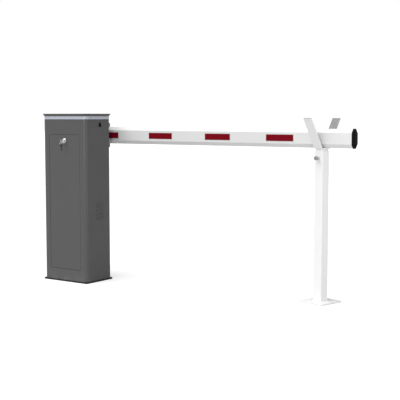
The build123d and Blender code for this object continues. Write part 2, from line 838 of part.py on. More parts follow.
with BuildPart() as connecting_rod:
    lower_z = drive_height + rest_pin_drop
    upper_z = boom_axis_height + rest_pin_drop
    with BuildSketch(facing(rod_front)):
        with Locations((rest_pin_x, lower_z), (rest_pin_x, upper_z)):
            Circle(link_eye_radius)
        with Locations((rest_pin_x, (lower_z + upper_z) / 2)):
            Rectangle(link_pin_radius * 1.6, upper_z - lower_z)
            Rectangle(link_eye_radius * 1.5, drive_drop * 0.3)
        with Locations((rest_pin_x, lower_z)):
            Circle(link_pin_radius + running_clearance, mode=Mode.SUBTRACT)
        with Locations((rest_pin_x, upper_z)):
            Circle(link_pin_radius + fit_gap, mode=Mode.SUBTRACT)
    extrude(amount=-link_thickness)
    fillet(connecting_rod.edges().filter_by(Axis.Z), radius=link_thickness * 0.3)
connecting_rod.part.label = "connecting_rod"
export_step(connecting_rod.part, "parts/connecting_rod.step")

# ================= main shaft and its levers =================

hub_front = back_face + 3 * sheet
hub_flange_front = boom_front - holder_plate - hub_flange_thickness
shaft_back = boom_front - holder_plate - sheet

with BuildPart() as main_shaft:
    with BuildSketch(facing(shaft_front)):
        with Locations((0, boom_axis_height)):
            Circle(shaft_radius)
    extrude(amount=-(shaft_back - shaft_front))
    chamfer(main_shaft.edges().group_by(Axis.Y)[0], length=1.5)
main_shaft.part.label = "main_shaft"
export_step(main_shaft.part, "parts/main_shaft.step")

with BuildPart() as rocker_arm:
    with BuildSketch(facing(link_front)):
        with Locations((0, boom_axis_height)):
            Circle(hub_radius)
        with Locations((rest_pin_x, boom_axis_height + rest_pin_drop)):
            Circle(link_eye_radius)
        make_hull()
        with Locations((0, boom_axis_height)):
            Circle(shaft_radius, mode=Mode.SUBTRACT)
        with Locations((rest_pin_x, boom_axis_height + rest_pin_drop)):
            Circle(link_pin_radius, mode=Mode.SUBTRACT)
    extrude(amount=-crank_thickness)
rocker_arm.part.label = "rocker_arm"
export_step(rocker_arm.part, "parts/rocker_arm.step")

lever_front = lever_centre - lever_thickness / 2
lever_half_width = lever_thickness
lever_eye_radius = lever_half_width + sheet
pin_x, pin_z = polar(lever_radius, rest_lever_angle)
hanger_depths = [lever_centre - spring_offset, lever_centre + spring_offset]
pin_reach = spring_offset + hanger_thickness / 2 + link_gap

with BuildPart() as spring_lever:
    with BuildSketch(facing(lever_front)):
        with Locations((0, boom_axis_height)):
            Circle(hub_radius)
        with Locations(Location((pin_x / 2, (pin_z + boom_axis_height) / 2, 0), (0, 0, rest_lever_angle))):
            Rectangle(lever_radius, 2 * lever_half_width)
        with Locations((pin_x, pin_z)):
            Circle(lever_eye_radius)
            Circle(lever_pin_radius, mode=Mode.SUBTRACT)
        with Locations((0, boom_axis_height)):
            Circle(shaft_radius, mode=Mode.SUBTRACT)
    extrude(amount=-lever_thickness)
spring_lever.part.label = "spring_lever"
export_step(spring_lever.part, "parts/spring_lever.step")

with BuildPart() as lever_pins:
    with BuildSketch(facing(lever_centre - pin_reach)):
        with Locations((pin_x, pin_z)):
            Circle(lever_pin_radius)
    extrude(amount=-2 * pin_reach)
    with BuildSketch(facing(lever_centre - pin_reach)):
        with Locations((pin_x, pin_z)):
            Circle(lever_pin_radius + sheet)
    extrude(amount=sheet)
    with BuildSketch(facing(lever_centre + pin_reach)):
        with Locations((pin_x, pin_z)):
            Circle(lever_pin_radius + sheet)
    extrude(amount=-sheet)
    with BuildSketch(facing(link_front)):
        with Locations((rest_pin_x, boom_axis_height + rest_pin_drop)):
            Circle(link_pin_radius)
    extrude(amount=-(pin_back - link_front))
lever_pins.part.label = "lever_pins"
export_step(lever_pins.part, "parts/lever_pins.step")

cam_disc_radius = hub_radius + sheet
cam_disc_thickness = 6.0
cam_pitch = 10.0
first_cam_depth = front_plate_face + housing_depth + sheet * 2
cam_depths = [first_cam_depth, first_cam_depth + cam_pitch]
lowered_notch_angle = 15.0
raised_notch_angle = lowered_notch_angle - 90.0

with BuildPart() as limit_cams:
    for cam_depth, notch_angle in zip(cam_depths, (lowered_notch_angle, raised_notch_angle)):
        with BuildSketch(facing(cam_depth)):
            with Locations((0, boom_axis_height)):
                Circle(cam_disc_radius)
                Circle(shaft_radius, mode=Mode.SUBTRACT)
            with Locations(polar(cam_disc_radius, notch_angle)):
                Circle(frame_wall, mode=Mode.SUBTRACT)
        extrude(amount=-cam_disc_thickness)
limit_cams.part.label = "limit_cams"
export_step(limit_cams.part, "parts/limit_cams.step")

switch_width = 20.0
switch_height = 30.0
switch_roller = 3.0
switch_x = cam_disc_radius + 2 * fit_gap + 2 * switch_roller + switch_width / 2

with BuildPart() as limit_switches:
    switch_backs = [cam_depths[0] + cam_disc_thickness, cam_depths[1] + cam_disc_thickness]
    with BuildSketch(facing(front_plate_face)):
        with Locations((switch_x + housing_radius / 2, boom_axis_height)):
            Rectangle(switch_width, switch_height)
    extrude(amount=-(switch_backs[1] - front_plate_face))
    for switch_front, switch_back in zip(cam_depths, switch_backs):
        with BuildSketch(facing(switch_front)):
            with Locations((switch_x + housing_radius / 4, boom_axis_height)):
                Rectangle(switch_width + housing_radius / 2, switch_height * 0.6)
            with Locations((switch_x - switch_width / 2 - switch_roller, boom_axis_height)):
                Circle(switch_roller)
                Rectangle(2 * switch_roller, switch_roller)
        extrude(amount=-(switch_back - switch_front))
limit_switches.part.label = "limit_switches"
export_step(limit_switches.part, "parts/limit_switches.step")

# ================= stops and balance springs =================

stop_radius = 50.0
buffer_radius = 8.0
buffer_length = 10.0
stop_bar = 14.0
raised_lever_angle = rest_lever_angle + 90.0
stop_places = [(rest_lever_angle, -90.0), (raised_lever_angle, 90.0)]

with BuildPart() as stop_buffers:
    for lever_angle, turn in stop_places:
        base_x, base_z = polar(stop_radius, lever_angle)
        push = radians(lever_angle + turn)
        start = lever_half_width + fit_gap
        buffer_origin = (base_x + start * cos(push), lever_centre, base_z + start * sin(push))
        with BuildSketch(Plane(origin=buffer_origin, z_dir=(cos(push), 0, sin(push)))):
            Circle(buffer_radius)
        extrude(amount=buffer_length)
stop_buffers.part.label = "stop_buffers"
export_step(stop_buffers.part, "parts/stop_buffers.step")

with BuildPart() as stop_bars:
    for lever_angle, turn in stop_places:
        base_x, base_z = polar(stop_radius, lever_angle)
        push = radians(lever_angle + turn)
        reach = lever_half_width + fit_gap + buffer_length + stop_bar / 2
        with BuildSketch(facing(lever_front)):
            with Locations(Location((base_x + reach * cos(push), base_z + reach * sin(push), 0),
                                    (0, 0, lever_angle))):
                Rectangle(stop_bar + 2 * sheet, stop_bar)
        extrude(amount=-(back_plate_face - lever_front))
stop_bars.part.label = "stop_bars"
export_step(stop_bars.part, "parts/stop_bars.step")

shelf_width = 68.0
shelf_front = hanger_depths[0] - 21.0
shelf_thickness = plate_thickness
tension_radius = 5.0
tension_nut_height = 8.0
tension_tail = 6 * shelf_thickness
spring_plug_radius = spring_coil_radius - spring_wire_radius - fit_gap
spring_top = pin_z - hanger_length

with BuildPart() as spring_shelf:
    with BuildSketch(Plane.XY.offset(shelf_height)):
        with Locations((pin_x, (shelf_front + back_plate_face) / 2)):
            Rectangle(shelf_width, back_plate_face - shelf_front)
        with Locations(*[(pin_x, depth) for depth in hanger_depths]):
            Circle(tension_radius, mode=Mode.SUBTRACT)
    extrude(amount=shelf_thickness)
    with BuildSketch(facing(back_plate_face)):
        with Locations((pin_x, shelf_height - 2 * shelf_thickness)):
            Rectangle(shelf_width, 4 * shelf_thickness)
    extrude(amount=shelf_thickness)
spring_shelf.part.label = "spring_shelf"
export_step(spring_shelf.part, "parts/spring_shelf.step")

with BuildPart() as spring_tensioners:
    with BuildSketch(Plane.XY.offset(shelf_height - tension_tail)):
        with Locations(*[(pin_x, depth) for depth in hanger_depths]):
            Circle(tension_radius)
    extrude(amount=spring_bottom - shelf_height + tension_tail)
    with BuildSketch(Plane.XY.offset(shelf_height - tension_nut_height)):
        with Locations(*[(pin_x, depth) for depth in hanger_depths]):
            RegularPolygon(tension_radius * 1.8, 6)
    extrude(amount=tension_nut_height)
    with BuildSketch(Plane.XY.offset(spring_bottom)):
        with Locations(*[(pin_x, depth) for depth in hanger_depths]):
            Circle(spring_plug_radius)
    extrude(amount=3 * spring_wire_radius)
spring_tensioners.part.label = "spring_tensioners"
export_step(spring_tensioners.part, "parts/spring_tensioners.step")

spring_height = spring_top - spring_bottom

with BuildPart() as spring_coil:
    with BuildLine(Plane.XY) as coil_path:
        Helix(pitch=spring_height / spring_turns, height=spring_height, radius=spring_coil_radius)
    with BuildSketch(Plane(origin=(spring_coil_radius, 0, 0), z_dir=(0, 1, 0))):
        Circle(spring_wire_radius)
    sweep(path=coil_path.line, is_frenet=True)

with BuildPart() as balance_springs:
    with Locations(*[(pin_x, depth, spring_bottom) for depth in hanger_depths]):
        add(spring_coil.part)
balance_springs.part.label = "balance_springs"
export_step(balance_springs.part, "parts/balance_springs.step")

with BuildPart() as spring_hangers:
    for depth in hanger_depths:
        with BuildSketch(facing(depth - hanger_thickness / 2)):
            with Locations((pin_x, pin_z)):
                Circle(lever_eye_radius)
            with Locations((pin_x, pin_z - hanger_length / 2)):
                Rectangle(lever_half_width, hanger_length - 4 * spring_wire_radius)
            with Locations((pin_x, pin_z)):
                Circle(lever_pin_radius + running_clearance, mode=Mode.SUBTRACT)
        extrude(amount=-hanger_thickness)
        with BuildSketch(Plane.XY.offset(spring_top - 2 * spring_wire_radius)):
            with Locations((pin_x, depth)):
                Circle(spring_plug_radius)
        extrude(amount=6 * spring_wire_radius)
spring_hangers.part.label = "spring_hangers"
export_step(spring_hangers.part, "parts/spring_hangers.step")

# ================= controls =================

control_plate_middle = (control_plate_bottom + control_plate_top) / 2
box_centre = control_plate_bottom + control_bar_inset + control_box_height / 2
box_front = control_plate_face - control_box_depth
cover_depth = 6.0
cover_screw_inset = 10.0
cover_screw_radius = 2.0
board_spacer = 6.0
board_spacer_inset = 20.0
board_spacer_radius = 3.0
board_margin = 12.0
board_thickness = 1.6
board_part_height = 18.0
terminal_strip = (130.0, 16.0)
terminal_place = (0.0, -70.0)
transformer = (50.0, 40.0)
transformer_place = (-40.0, 40.0)
relay = (40.0, 24.0)
relay_place = (30.0, -20.0)
capacitor_radius = 14.0
capacitor_place = (40.0, 40.0)

with BuildPart() as control_plate:
    with BuildSketch(facing(control_plate_face)):
        with Locations((0, control_plate_middle)):
            RectangleRounded(control_plate_width, control_plate_top - control_plate_bottom, door_corner)
    extrude(amount=-sheet)
control_plate.part.label = "control_plate"
export_step(control_plate.part, "parts/control_plate.step")

with BuildPart() as control_box:
    with BuildSketch(facing(control_plate_face)):
        with Locations((0, box_centre)):
            RectangleRounded(control_box_width, control_box_height, door_corner)
    extrude(amount=control_box_depth)
    with BuildSketch(facing(control_plate_face - control_box_wall)):
        with Locations((0, box_centre)):
            RectangleRounded(
                control_box_width - 2 * control_box_wall,
                control_box_height - 2 * control_box_wall,
                door_corner - control_box_wall,
            )
    extrude(amount=control_box_depth, mode=Mode.SUBTRACT)
control_box.part.label = "control_box"
export_step(control_box.part, "parts/control_box.step")

with BuildPart() as control_box_cover:
    with BuildSketch(facing(box_front)):
        with Locations((0, box_centre)):
            RectangleRounded(control_box_width, control_box_height, door_corner)
    extrude(amount=cover_depth)
    fillet(control_box_cover.faces().sort_by(Axis.Y)[0].outer_wire().edges(), radius=cover_depth * 0.4)
    with Locations(Plane(origin=(0, box_front - cover_depth, box_centre), x_dir=(1, 0, 0), z_dir=(0, -1, 0))):
        with GridLocations(
            control_box_width - 2 * cover_screw_inset, control_box_height - 2 * cover_screw_inset, 2, 2
        ):
            CounterBoreHole(
                radius=cover_screw_radius,
                counter_bore_radius=2 * cover_screw_radius,
                counter_bore_depth=cover_screw_radius,
            )
control_box_cover.part.label = "control_box_cover"
export_step(control_box_cover.part, "parts/control_box_cover.step")

def on_box(place):
    return (place[0], box_centre + place[1])


box_floor = control_plate_face - control_box_wall
board_face = box_floor - board_spacer

with BuildPart() as control_board:
    with BuildSketch(facing(box_floor)):
        with Locations((0, box_centre)):
            with GridLocations(
                control_box_width - 2 * board_spacer_inset, control_box_height - 2 * board_spacer_inset, 2, 2
            ):
                Circle(board_spacer_radius)
    extrude(amount=board_spacer)
    with BuildSketch(facing(board_face)):
        with Locations((0, box_centre)):
            Rectangle(control_box_width - 2 * board_margin, control_box_height - 2 * board_margin)
    extrude(amount=board_thickness)
    with BuildSketch(facing(board_face - board_thickness)):
        for block, place in (
            (terminal_strip, terminal_place),
            (transformer, transformer_place),
            (relay, relay_place),
        ):
            with Locations(on_box(place)):
                Rectangle(*block)
        with Locations(on_box(capacitor_place)):
            Circle(capacitor_radius)
    extrude(amount=board_part_height)
control_board.part.label = "control_board"
export_step(control_board.part, "parts/control_board.step")

# ================= hub, holder and boom =================

hub_bolt_circle = hub_flange_radius - 12.0
clamp_bolt_x = holder_length / 2 - 18.0
clamp_bolt_z = boom_height / 2 + 12.0
holder_height = boom_height + 50.0
clamp_face = boom_centre + boom_thickness / 2


def boom_section(distance, grow):
    """The boom's octagonal section at the given X, its sides moved outwards by grow."""
    with BuildSketch(side(distance)) as section:
        with Locations((boom_centre, boom_axis_height)):
            Polygon(*octagon_points(grow), align=None)
    return section.sketch


with BuildPart() as boom_hub:
    with BuildSketch(facing(hub_front)):
        with Locations((0, boom_axis_height)):
            Circle(hub_radius)
    extrude(amount=-(hub_flange_front - hub_front))
    with BuildSketch(facing(hub_flange_front)):
        with Locations((0, boom_axis_height)):
            Circle(hub_flange_radius)
    extrude(amount=-hub_flange_thickness)
    with BuildSketch(facing(hub_front)):
        with Locations((0, boom_axis_height)):
            Circle(shaft_radius)
    extrude(amount=-(shaft_back - hub_front), mode=Mode.SUBTRACT)
    with BuildSketch(facing(hub_flange_front)):
        with Locations((0, boom_axis_height)):
            with PolarLocations(hub_bolt_circle, 4, start_angle=45):
                Circle(bolt_radius)
    extrude(amount=-hub_flange_thickness, mode=Mode.SUBTRACT)
boom_hub.part.label = "boom_hub"
export_step(boom_hub.part, "parts/boom_hub.step")

with BuildPart() as boom_holder:
    with BuildSketch(facing(boom_front - holder_plate)):
        with Locations((0, boom_axis_height)):
            RectangleRounded(holder_length, holder_height, door_corner)
            with GridLocations(2 * clamp_bolt_x, 2 * clamp_bolt_z, 2, 2):
                Circle(holder_bolt_radius, mode=Mode.SUBTRACT)
            with PolarLocations(hub_bolt_circle, 4, start_angle=45):
                Circle(bolt_radius, mode=Mode.SUBTRACT)
    extrude(amount=-holder_plate)
boom_holder.part.label = "boom_holder"
export_step(boom_holder.part, "parts/boom_holder.step")

with BuildPart() as holder_clamp:
    clamp_lip = 16.0
    with BuildSketch(facing(clamp_face)):
        with Locations((0, boom_axis_height)):
            RectangleRounded(holder_length, holder_height, door_corner)
            with GridLocations(2 * clamp_bolt_x, 2 * clamp_bolt_z, 2, 2):
                Circle(holder_bolt_radius, mode=Mode.SUBTRACT)
    extrude(amount=-holder_plate)
    for turn in (1, -1):
        with BuildSketch(Plane.XY.offset(boom_axis_height + turn * boom_height / 2)):
            with Locations((0, clamp_face - clamp_lip / 2)):
                Rectangle(holder_length - 2 * door_corner, clamp_lip)
        extrude(amount=turn * frame_wall)
holder_clamp.part.label = "holder_clamp"
export_step(holder_clamp.part, "parts/holder_clamp.step")

with BuildPart() as holder_bolts:
    bolt_start = boom_front - holder_plate
    bolt_end = clamp_face + holder_plate
    with BuildSketch(facing(bolt_start)):
        with Locations((0, boom_axis_height)):
            with GridLocations(2 * clamp_bolt_x, 2 * clamp_bolt_z, 2, 2):
                Circle(holder_bolt_radius)
    extrude(amount=-(bolt_end - bolt_start + bolt_head_height * 2))
    for bolt_face, bolt_head in ((bolt_start, bolt_head_height), (bolt_end, -bolt_head_height * 1.4)):
        with BuildSketch(facing(bolt_face)):
            with Locations((0, boom_axis_height)):
                with GridLocations(2 * clamp_bolt_x, 2 * clamp_bolt_z, 2, 2):
                    RegularPolygon(holder_bolt_radius * 1.8, 6)
        extrude(amount=bolt_head)
    with BuildSketch(facing(hub_flange_front)):
        with Locations((0, boom_axis_height)):
            with PolarLocations(hub_bolt_circle, 4, start_angle=45):
                Circle(bolt_radius)
    extrude(amount=-(hub_flange_thickness + holder_plate))
    with BuildSketch(facing(hub_flange_front)):
        with Locations((0, boom_axis_height)):
            with PolarLocations(hub_bolt_circle, 4, start_angle=45):
                RegularPolygon(bolt_head_radius, 6)
    extrude(amount=bolt_head_height)
holder_bolts.part.label = "holder_bolts"
export_step(holder_bolts.part, "parts/holder_bolts.step")

tube_end = boom_reach - end_cap_length

with BuildPart() as boom_tube:
    extrude(boom_section(-boom_rear, 0), amount=boom_rear + tube_end)
    extrude(boom_section(-boom_rear, -boom_wall), amount=boom_rear + tube_end, mode=Mode.SUBTRACT)
boom_tube.part.label = "boom_tube"
export_step(boom_tube.part, "parts/boom_tube.step")

cap_skirt = end_cap_length * 0.62
cap_panel = -9.0

with BuildPart() as boom_end_caps:
    for turn, cap_face in ((1, tube_end), (-1, -boom_rear)):
        extrude(boom_section(cap_face, end_cap_lip), amount=turn * cap_skirt)
        panel_face = boom_section(cap_face + turn * cap_skirt, cap_panel)
        extrude(panel_face, amount=turn * (end_cap_length - cap_skirt), taper=20)
        extrude(boom_section(cap_face, -boom_wall - fit_gap), amount=-turn * end_cap_plug)
    for turn, cap_face in ((1, tube_end), (-1, -boom_rear)):
        rim_place = cap_face + turn * cap_skirt
        rim = boom_end_caps.faces().filter_by(
            lambda face: abs(face.center().X - rim_place) < 0.01 and abs(face.normal_at().X) > 0.9
        )
        chamfer(rim.sort_by(SortBy.AREA)[-1].outer_wire().edges(), length=3)
boom_end_caps.part.label = "boom_end_caps"
export_step(boom_end_caps.part, "parts/boom_end_caps.step")

first_strip_start = holder_length / 2 + 20.0


def strip_outlines(border, depth):
    """The strips, grown by border, on the upright plane at the given depth."""
    with BuildSketch(facing(depth)) as outlines:
        for i in range(strip_count):
            middle = strip_last - i * strip_pitch
            start_x = max(middle - strip_length / 2, first_strip_start) - border
            end_x = middle + strip_length / 2 + border
            with Locations(((start_x + end_x) / 2, boom_axis_height)):
                RectangleRounded(end_x - start_x, strip_height + 2 * border, 1 + border / 2)
    return outlines.sketch


boom_back = boom_centre + boom_thickness / 2

with BuildPart() as strip_borders:
    extrude(strip_outlines(strip_border, boom_front), amount=strip_film)
    extrude(strip_outlines(strip_border, boom_back), amount=-strip_film)
strip_borders.part.label = "strip_borders"
export_step(strip_borders.part, "parts/strip_borders.step")

with BuildPart() as red_strips:
    extrude(strip_outlines(0, boom_front - strip_film), amount=strip_film)
    extrude(strip_outlines(0, boom_back + strip_film), amount=-strip_film)
red_strips.part.label = "red_strips"
export_step(red_strips.part, "parts/red_strips.step")

# ================= post and fork =================

post_front = boom_centre - post_width / 2
post_inner = post_width - 2 * post_wall
stem_width = post_inner - 2 * stem_clearance
stem_top = seat_top - fork_plate
post_top = stem_top - post_top_gap
clamp_height = post_top - clamp_drop
post_axis = Axis((post_distance, boom_centre, 0), (0, 0, 1))


def turned(part, label):
    placed = part.rotate(post_axis, post_turn)
    placed.label = label
    return placed


with BuildPart() as post_plate:
    with BuildSketch(Plane.XY):
        with Locations((post_distance, boom_centre)):
            RectangleRounded(post_plate_width, post_plate_width, base_plate_corner)
            with GridLocations(post_hole_spacing, post_hole_spacing, 2, 2):
                Circle(post_hole_radius, mode=Mode.SUBTRACT)
    extrude(amount=post_plate_height)
    chamfer(post_plate.faces().sort_by(Axis.Z)[-1].outer_wire().edges(), length=1)
export_step(turned(post_plate.part, "post_plate"), "parts/post_plate.step")

with BuildPart() as post_tube:
    with BuildSketch(Plane.XY.offset(post_plate_height)):
        with Locations((post_distance, boom_centre)):
            RectangleRounded(post_width, post_width, post_wall)
            RectangleRounded(post_inner, post_inner, 1, mode=Mode.SUBTRACT)
    extrude(amount=post_top - post_plate_height)
    with BuildSketch(facing(post_front)):
        with Locations((post_distance, clamp_height)):
            Circle(clamp_bolt_radius + fit_gap)
    extrude(amount=-post_wall, mode=Mode.SUBTRACT)
export_step(turned(post_tube.part, "post_tube"), "parts/post_tube.step")

with BuildPart() as clamp_nut:
    with BuildSketch(facing(post_front)):
        with Locations((post_distance, clamp_height)):
            RegularPolygon(clamp_bolt_radius * 2, 6)
            Circle(clamp_bolt_radius + running_clearance, mode=Mode.SUBTRACT)
    extrude(amount=clamp_nut_height)
export_step(turned(clamp_nut.part, "clamp_nut"), "parts/clamp_nut.step")

clamp_head_back = post_front - clamp_nut_height - clamp_neck
stem_front = boom_centre - stem_width / 2

with BuildPart() as clamp_bolt:
    with BuildSketch(facing(clamp_head_back)):
        with Locations((post_distance, clamp_height)):
            Circle(clamp_bolt_radius)
    extrude(amount=-(stem_front - fit_gap - clamp_head_back))
    with BuildSketch(facing(clamp_head_back)):
        with Locations((post_distance, clamp_height)):
            RegularPolygon(clamp_head_radius, 6)
    extrude(amount=clamp_head_height)
    chamfer(clamp_bolt.faces().sort_by(Axis.Y)[0].edges(), length=1)
    with BuildSketch(facing(clamp_head_back)):
        with Locations((post_distance, clamp_height)):
            Circle(clamp_head_radius)
    extrude(amount=-sheet)
export_step(turned(clamp_bolt.part, "clamp_bolt"), "parts/clamp_bolt.step")

with BuildPart() as fork_stem:
    with BuildSketch(Plane.XY.offset(stem_bottom)):
        with Locations((post_distance, boom_centre)):
            RectangleRounded(stem_width, stem_width, post_wall)
            RectangleRounded(stem_width - 2 * stem_wall, stem_width - 2 * stem_wall, 1, mode=Mode.SUBTRACT)
    extrude(amount=stem_top - stem_bottom)
export_step(turned(fork_stem.part, "fork_stem"), "parts/fork_stem.step")

arm_lean = fork_arm_length * sin(radians(fork_arm_angle))
arm_rise = fork_arm_length * cos(radians(fork_arm_angle))
seat_middle = stem_top + fork_plate / 2

with BuildPart() as fork_cradle:
    with BuildSketch(side(post_distance)):
        with BuildLine():
            FilletPolyline(
                (boom_centre - post_width / 2 - arm_lean, seat_middle + arm_rise),
                (boom_centre - post_width / 2, seat_middle),
                (boom_centre + post_width / 2, seat_middle),
                (boom_centre + post_width / 2 + arm_lean, seat_middle + arm_rise),
                radius=fork_plate * 1.4,
            )
        trace(line_width=fork_plate)
    extrude(amount=post_width / 2, both=True)
export_step(turned(fork_cradle.part, "fork_cradle"), "parts/fork_cradle.step")
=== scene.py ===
import json
import math

import bmesh
import bpy
from bpy.props import FloatProperty, FloatVectorProperty, IntProperty, PointerProperty
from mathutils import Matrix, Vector


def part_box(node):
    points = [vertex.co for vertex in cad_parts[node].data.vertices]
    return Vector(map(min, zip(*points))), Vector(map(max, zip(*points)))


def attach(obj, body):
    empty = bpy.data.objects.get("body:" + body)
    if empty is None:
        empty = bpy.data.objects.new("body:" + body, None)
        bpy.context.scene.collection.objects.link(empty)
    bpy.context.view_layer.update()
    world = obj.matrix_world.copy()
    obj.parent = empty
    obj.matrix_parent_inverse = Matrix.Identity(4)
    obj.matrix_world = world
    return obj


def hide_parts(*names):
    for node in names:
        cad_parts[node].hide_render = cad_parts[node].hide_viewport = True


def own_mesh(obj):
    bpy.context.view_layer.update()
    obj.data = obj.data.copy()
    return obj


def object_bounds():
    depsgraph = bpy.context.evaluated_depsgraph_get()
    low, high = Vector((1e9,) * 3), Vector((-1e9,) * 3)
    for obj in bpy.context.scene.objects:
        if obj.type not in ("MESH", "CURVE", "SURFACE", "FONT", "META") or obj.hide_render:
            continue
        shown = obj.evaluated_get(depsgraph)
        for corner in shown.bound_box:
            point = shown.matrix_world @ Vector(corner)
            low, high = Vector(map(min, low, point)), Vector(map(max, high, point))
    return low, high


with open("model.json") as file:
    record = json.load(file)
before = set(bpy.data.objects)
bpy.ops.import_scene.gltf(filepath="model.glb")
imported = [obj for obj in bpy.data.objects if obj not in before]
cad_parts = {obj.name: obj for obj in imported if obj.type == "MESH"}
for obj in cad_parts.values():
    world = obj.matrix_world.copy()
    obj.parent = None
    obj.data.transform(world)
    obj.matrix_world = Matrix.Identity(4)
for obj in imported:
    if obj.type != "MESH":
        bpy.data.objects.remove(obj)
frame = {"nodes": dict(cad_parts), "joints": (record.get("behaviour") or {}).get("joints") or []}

bl_info = {
    "name": "Boom Barrier Finish",
    "version": (1, 0, 0),
    "blender": (4, 5, 0),
    "location": "3D View > Sidebar > Barrier",
    "description": "Finishes, springs, welds and studio for a parking boom barrier with a fork post",
    "category": "Object",
}

CAD_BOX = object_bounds()
NODES = frame["nodes"]
JOINTS = {joint["name"]: joint for joint in frame["joints"]}

DUST = (0.42, 0.39, 0.34)
BARE_STEEL = (0.4, 0.4, 0.41)
GREY_PRIMER = (0.22, 0.22, 0.22)
COPPER_TRACK = (0.1, 0.3, 0.12)
GREEN_LAMINATE = (0.015, 0.11, 0.045)
RED_WALL = (0.24, 0.008, 0.018)
PALE_WALL = (0.6, 0.63, 0.63)

LAMINATE_DEPTH = 0.0079  # from the back of the board's spacers to just past the laminate's face
CLOSE_PITCH = 2.05       # pitch of a spring's closed turns, in radii of its wire
RIPPLE_STEPS = 4         # sections along one ripple of the weld bead


# ---------------------------------------------------------------- settings


def colour(name, description, default):
    return FloatVectorProperty(
        name=name, description=description, default=default, subtype="COLOR", size=3, min=0.0, max=1.0
    )


def length(name, description, default):
    return FloatProperty(name=name, description=description, default=default, min=0.0, unit="LENGTH")


def share(name, description, default):
    return FloatProperty(
        name=name, description=description, default=default, min=0.0, max=1.0, subtype="FACTOR"
    )


def angle(name, description, degrees):
    return FloatProperty(name=name, description=description, default=math.radians(degrees), subtype="ANGLE")


def count(name, description, default, least):
    return IntProperty(name=name, description=description, default=default, min=least)


def place(name, description, default, subtype="TRANSLATION"):
    return FloatVectorProperty(name=name, description=description, default=default, size=3, subtype=subtype)


def watts(name, description, default):
    return FloatProperty(name=name, description=description, default=default, min=0.0, unit="POWER")


def strength(name, description, default):
    return FloatProperty(name=name, description=description, default=default, min=0.0)


class BarrierCoatSettings(bpy.types.PropertyGroup):
    cabinet_grey: colour("Cabinet", "Powder coat of the cabinet, door and lid", (0.088, 0.088, 0.089))
    # The plinth's black also dresses the door frame, as painted shade in the door gap
    plinth_black: colour("Plinth", "Coat of the base plate", (0.012, 0.012, 0.013))
    boom_white: colour("Boom", "Coat of the octagonal boom tube", (0.64, 0.64, 0.64))
    post_white: colour("Post", "Coat of the fork post and its plate", (0.77, 0.77, 0.77))
    fork_upward_grey: colour("Fork upward grey", "Inside of the fork where the boom lands", (0.21, 0.21, 0.215))
    frame_grey: colour("Drive frame", "Paint of the plates and arms inside", (0.10, 0.105, 0.11))
    grain: length("Grain", "Size of one grain of the fine textured coat", 0.0011)
    grain_depth: length("Grain depth", "Height of the coat's grains", 0.00006)
    dust: share("Dust", "How much dust lies on upward faces and near the ground", 0.35)
    wear: share("Edge wear", "How far the coat has rubbed off along edges", 0.25)


class BarrierFilmSettings(bpy.types.PropertyGroup):
    red: colour("Red film", "Retroreflective film of the strips", (0.155, 0.002, 0.008))
    border: colour("Border film", "Pale film round each strip", (0.50, 0.545, 0.545))
    cell: length("Cell", "Width of one sealed cell of the film", 0.0042)
    cell_depth: length("Cell depth", "Height of the welded cell walls", 0.00005)


class BarrierBandSettings(bpy.types.PropertyGroup):
    milk: colour("Diffuser", "Milky plastic of the light band", (0.43, 0.455, 0.52))
    glow: colour("Glow", "Light that the band gives off", (0.72, 0.78, 1.0))
    glow_strength: strength("Glow strength", "Strength of the lamps behind the band", 0.03)
    lamp_pitch: length("Lamp pitch", "Distance from lamp to lamp along the band", 0.0167)


class BarrierSpringSettings(bpy.types.PropertyGroup):
    wire: length("Wire radius", "Radius of the spring wire", 0.002)
    turns: count("Turns", "Open turns of each balance spring", 34, 3)
    closed_turns: count("Closed turns", "Turns that lie together at each end", 2, 0)
    steps: count("Steps a turn", "Sections along one turn", 28, 8)
    sides: count("Sides", "Sides of the wire's section", 10, 5)


class BarrierWeldSettings(bpy.types.PropertyGroup):
    bead: length("Bead radius", "Radius of the weld bead round the post's foot", 0.003)
    corner: length("Tube corner", "Outer corner radius of the post's tube", 0.003)
    ripple: length("Ripple pitch", "Distance from ripple to ripple along the bead", 0.0028)
    ripple_depth: length("Ripple depth", "Height of the ripples", 0.00045)
    sides: count("Sides", "Sides of the bead's section", 10, 6)


class BarrierStageSettings(bpy.types.PropertyGroup):
    azimuth: angle("Azimuth", "Camera's turn round the barrier", 34.91)
    elevation: angle("Elevation", "Camera's height above the horizon", 5.09)
    distance: length("Distance", "From the camera to the point it looks at", 5.2)
    aim: place("Aim", "Point that the camera looks at", (0.891, 0.0165, 0.5248))
    lens: FloatProperty(name="Lens", description="Focal length in millimetres", default=84.81, min=1.0)
    floor_radius: length("Floor radius", "Radius of the round floor", 60.0)
    floor_tone: colour("Floor", "Colour of the plain floor", (0.55, 0.55, 0.55))
    floor_lift: strength("Floor lift", "Light that the floor shows to the camera of its own", 0.55)
    fill: strength("Fill", "Strength of the even light from all round", 0.42)
    key_strength: strength("Key strength", "Strength of the broad soft light from above the door side", 3.0)
    key_from: place("Key from", "Where the broad soft light comes from", (-0.25, -0.42, 0.85), "DIRECTION")
    key_softness: angle("Key softness", "Angle that the broad soft light fills", 60.0)
    front_power: watts("Front power", "Power of the soft light before the door, in watts", 70.0)
    front_place: place("Front light", "Where the soft light before the door stands", (3.0, -5.6, 1.3))
    front_width: length("Front width", "Width of the soft light before the door", 1.4)
    side_power: watts("Side power", "Power of the soft light beside the post, in watts", 6.5)
    side_offset: place("Side light", "From the post's middle to the light beside it", (1.3, -0.5, 0.3))
    side_width: length("Side width", "Width of the soft light beside the post", 0.5)
    light_height: length("Light height", "Height of both soft lights", 1.2)


# ---------------------------------------------------------------- shader helpers


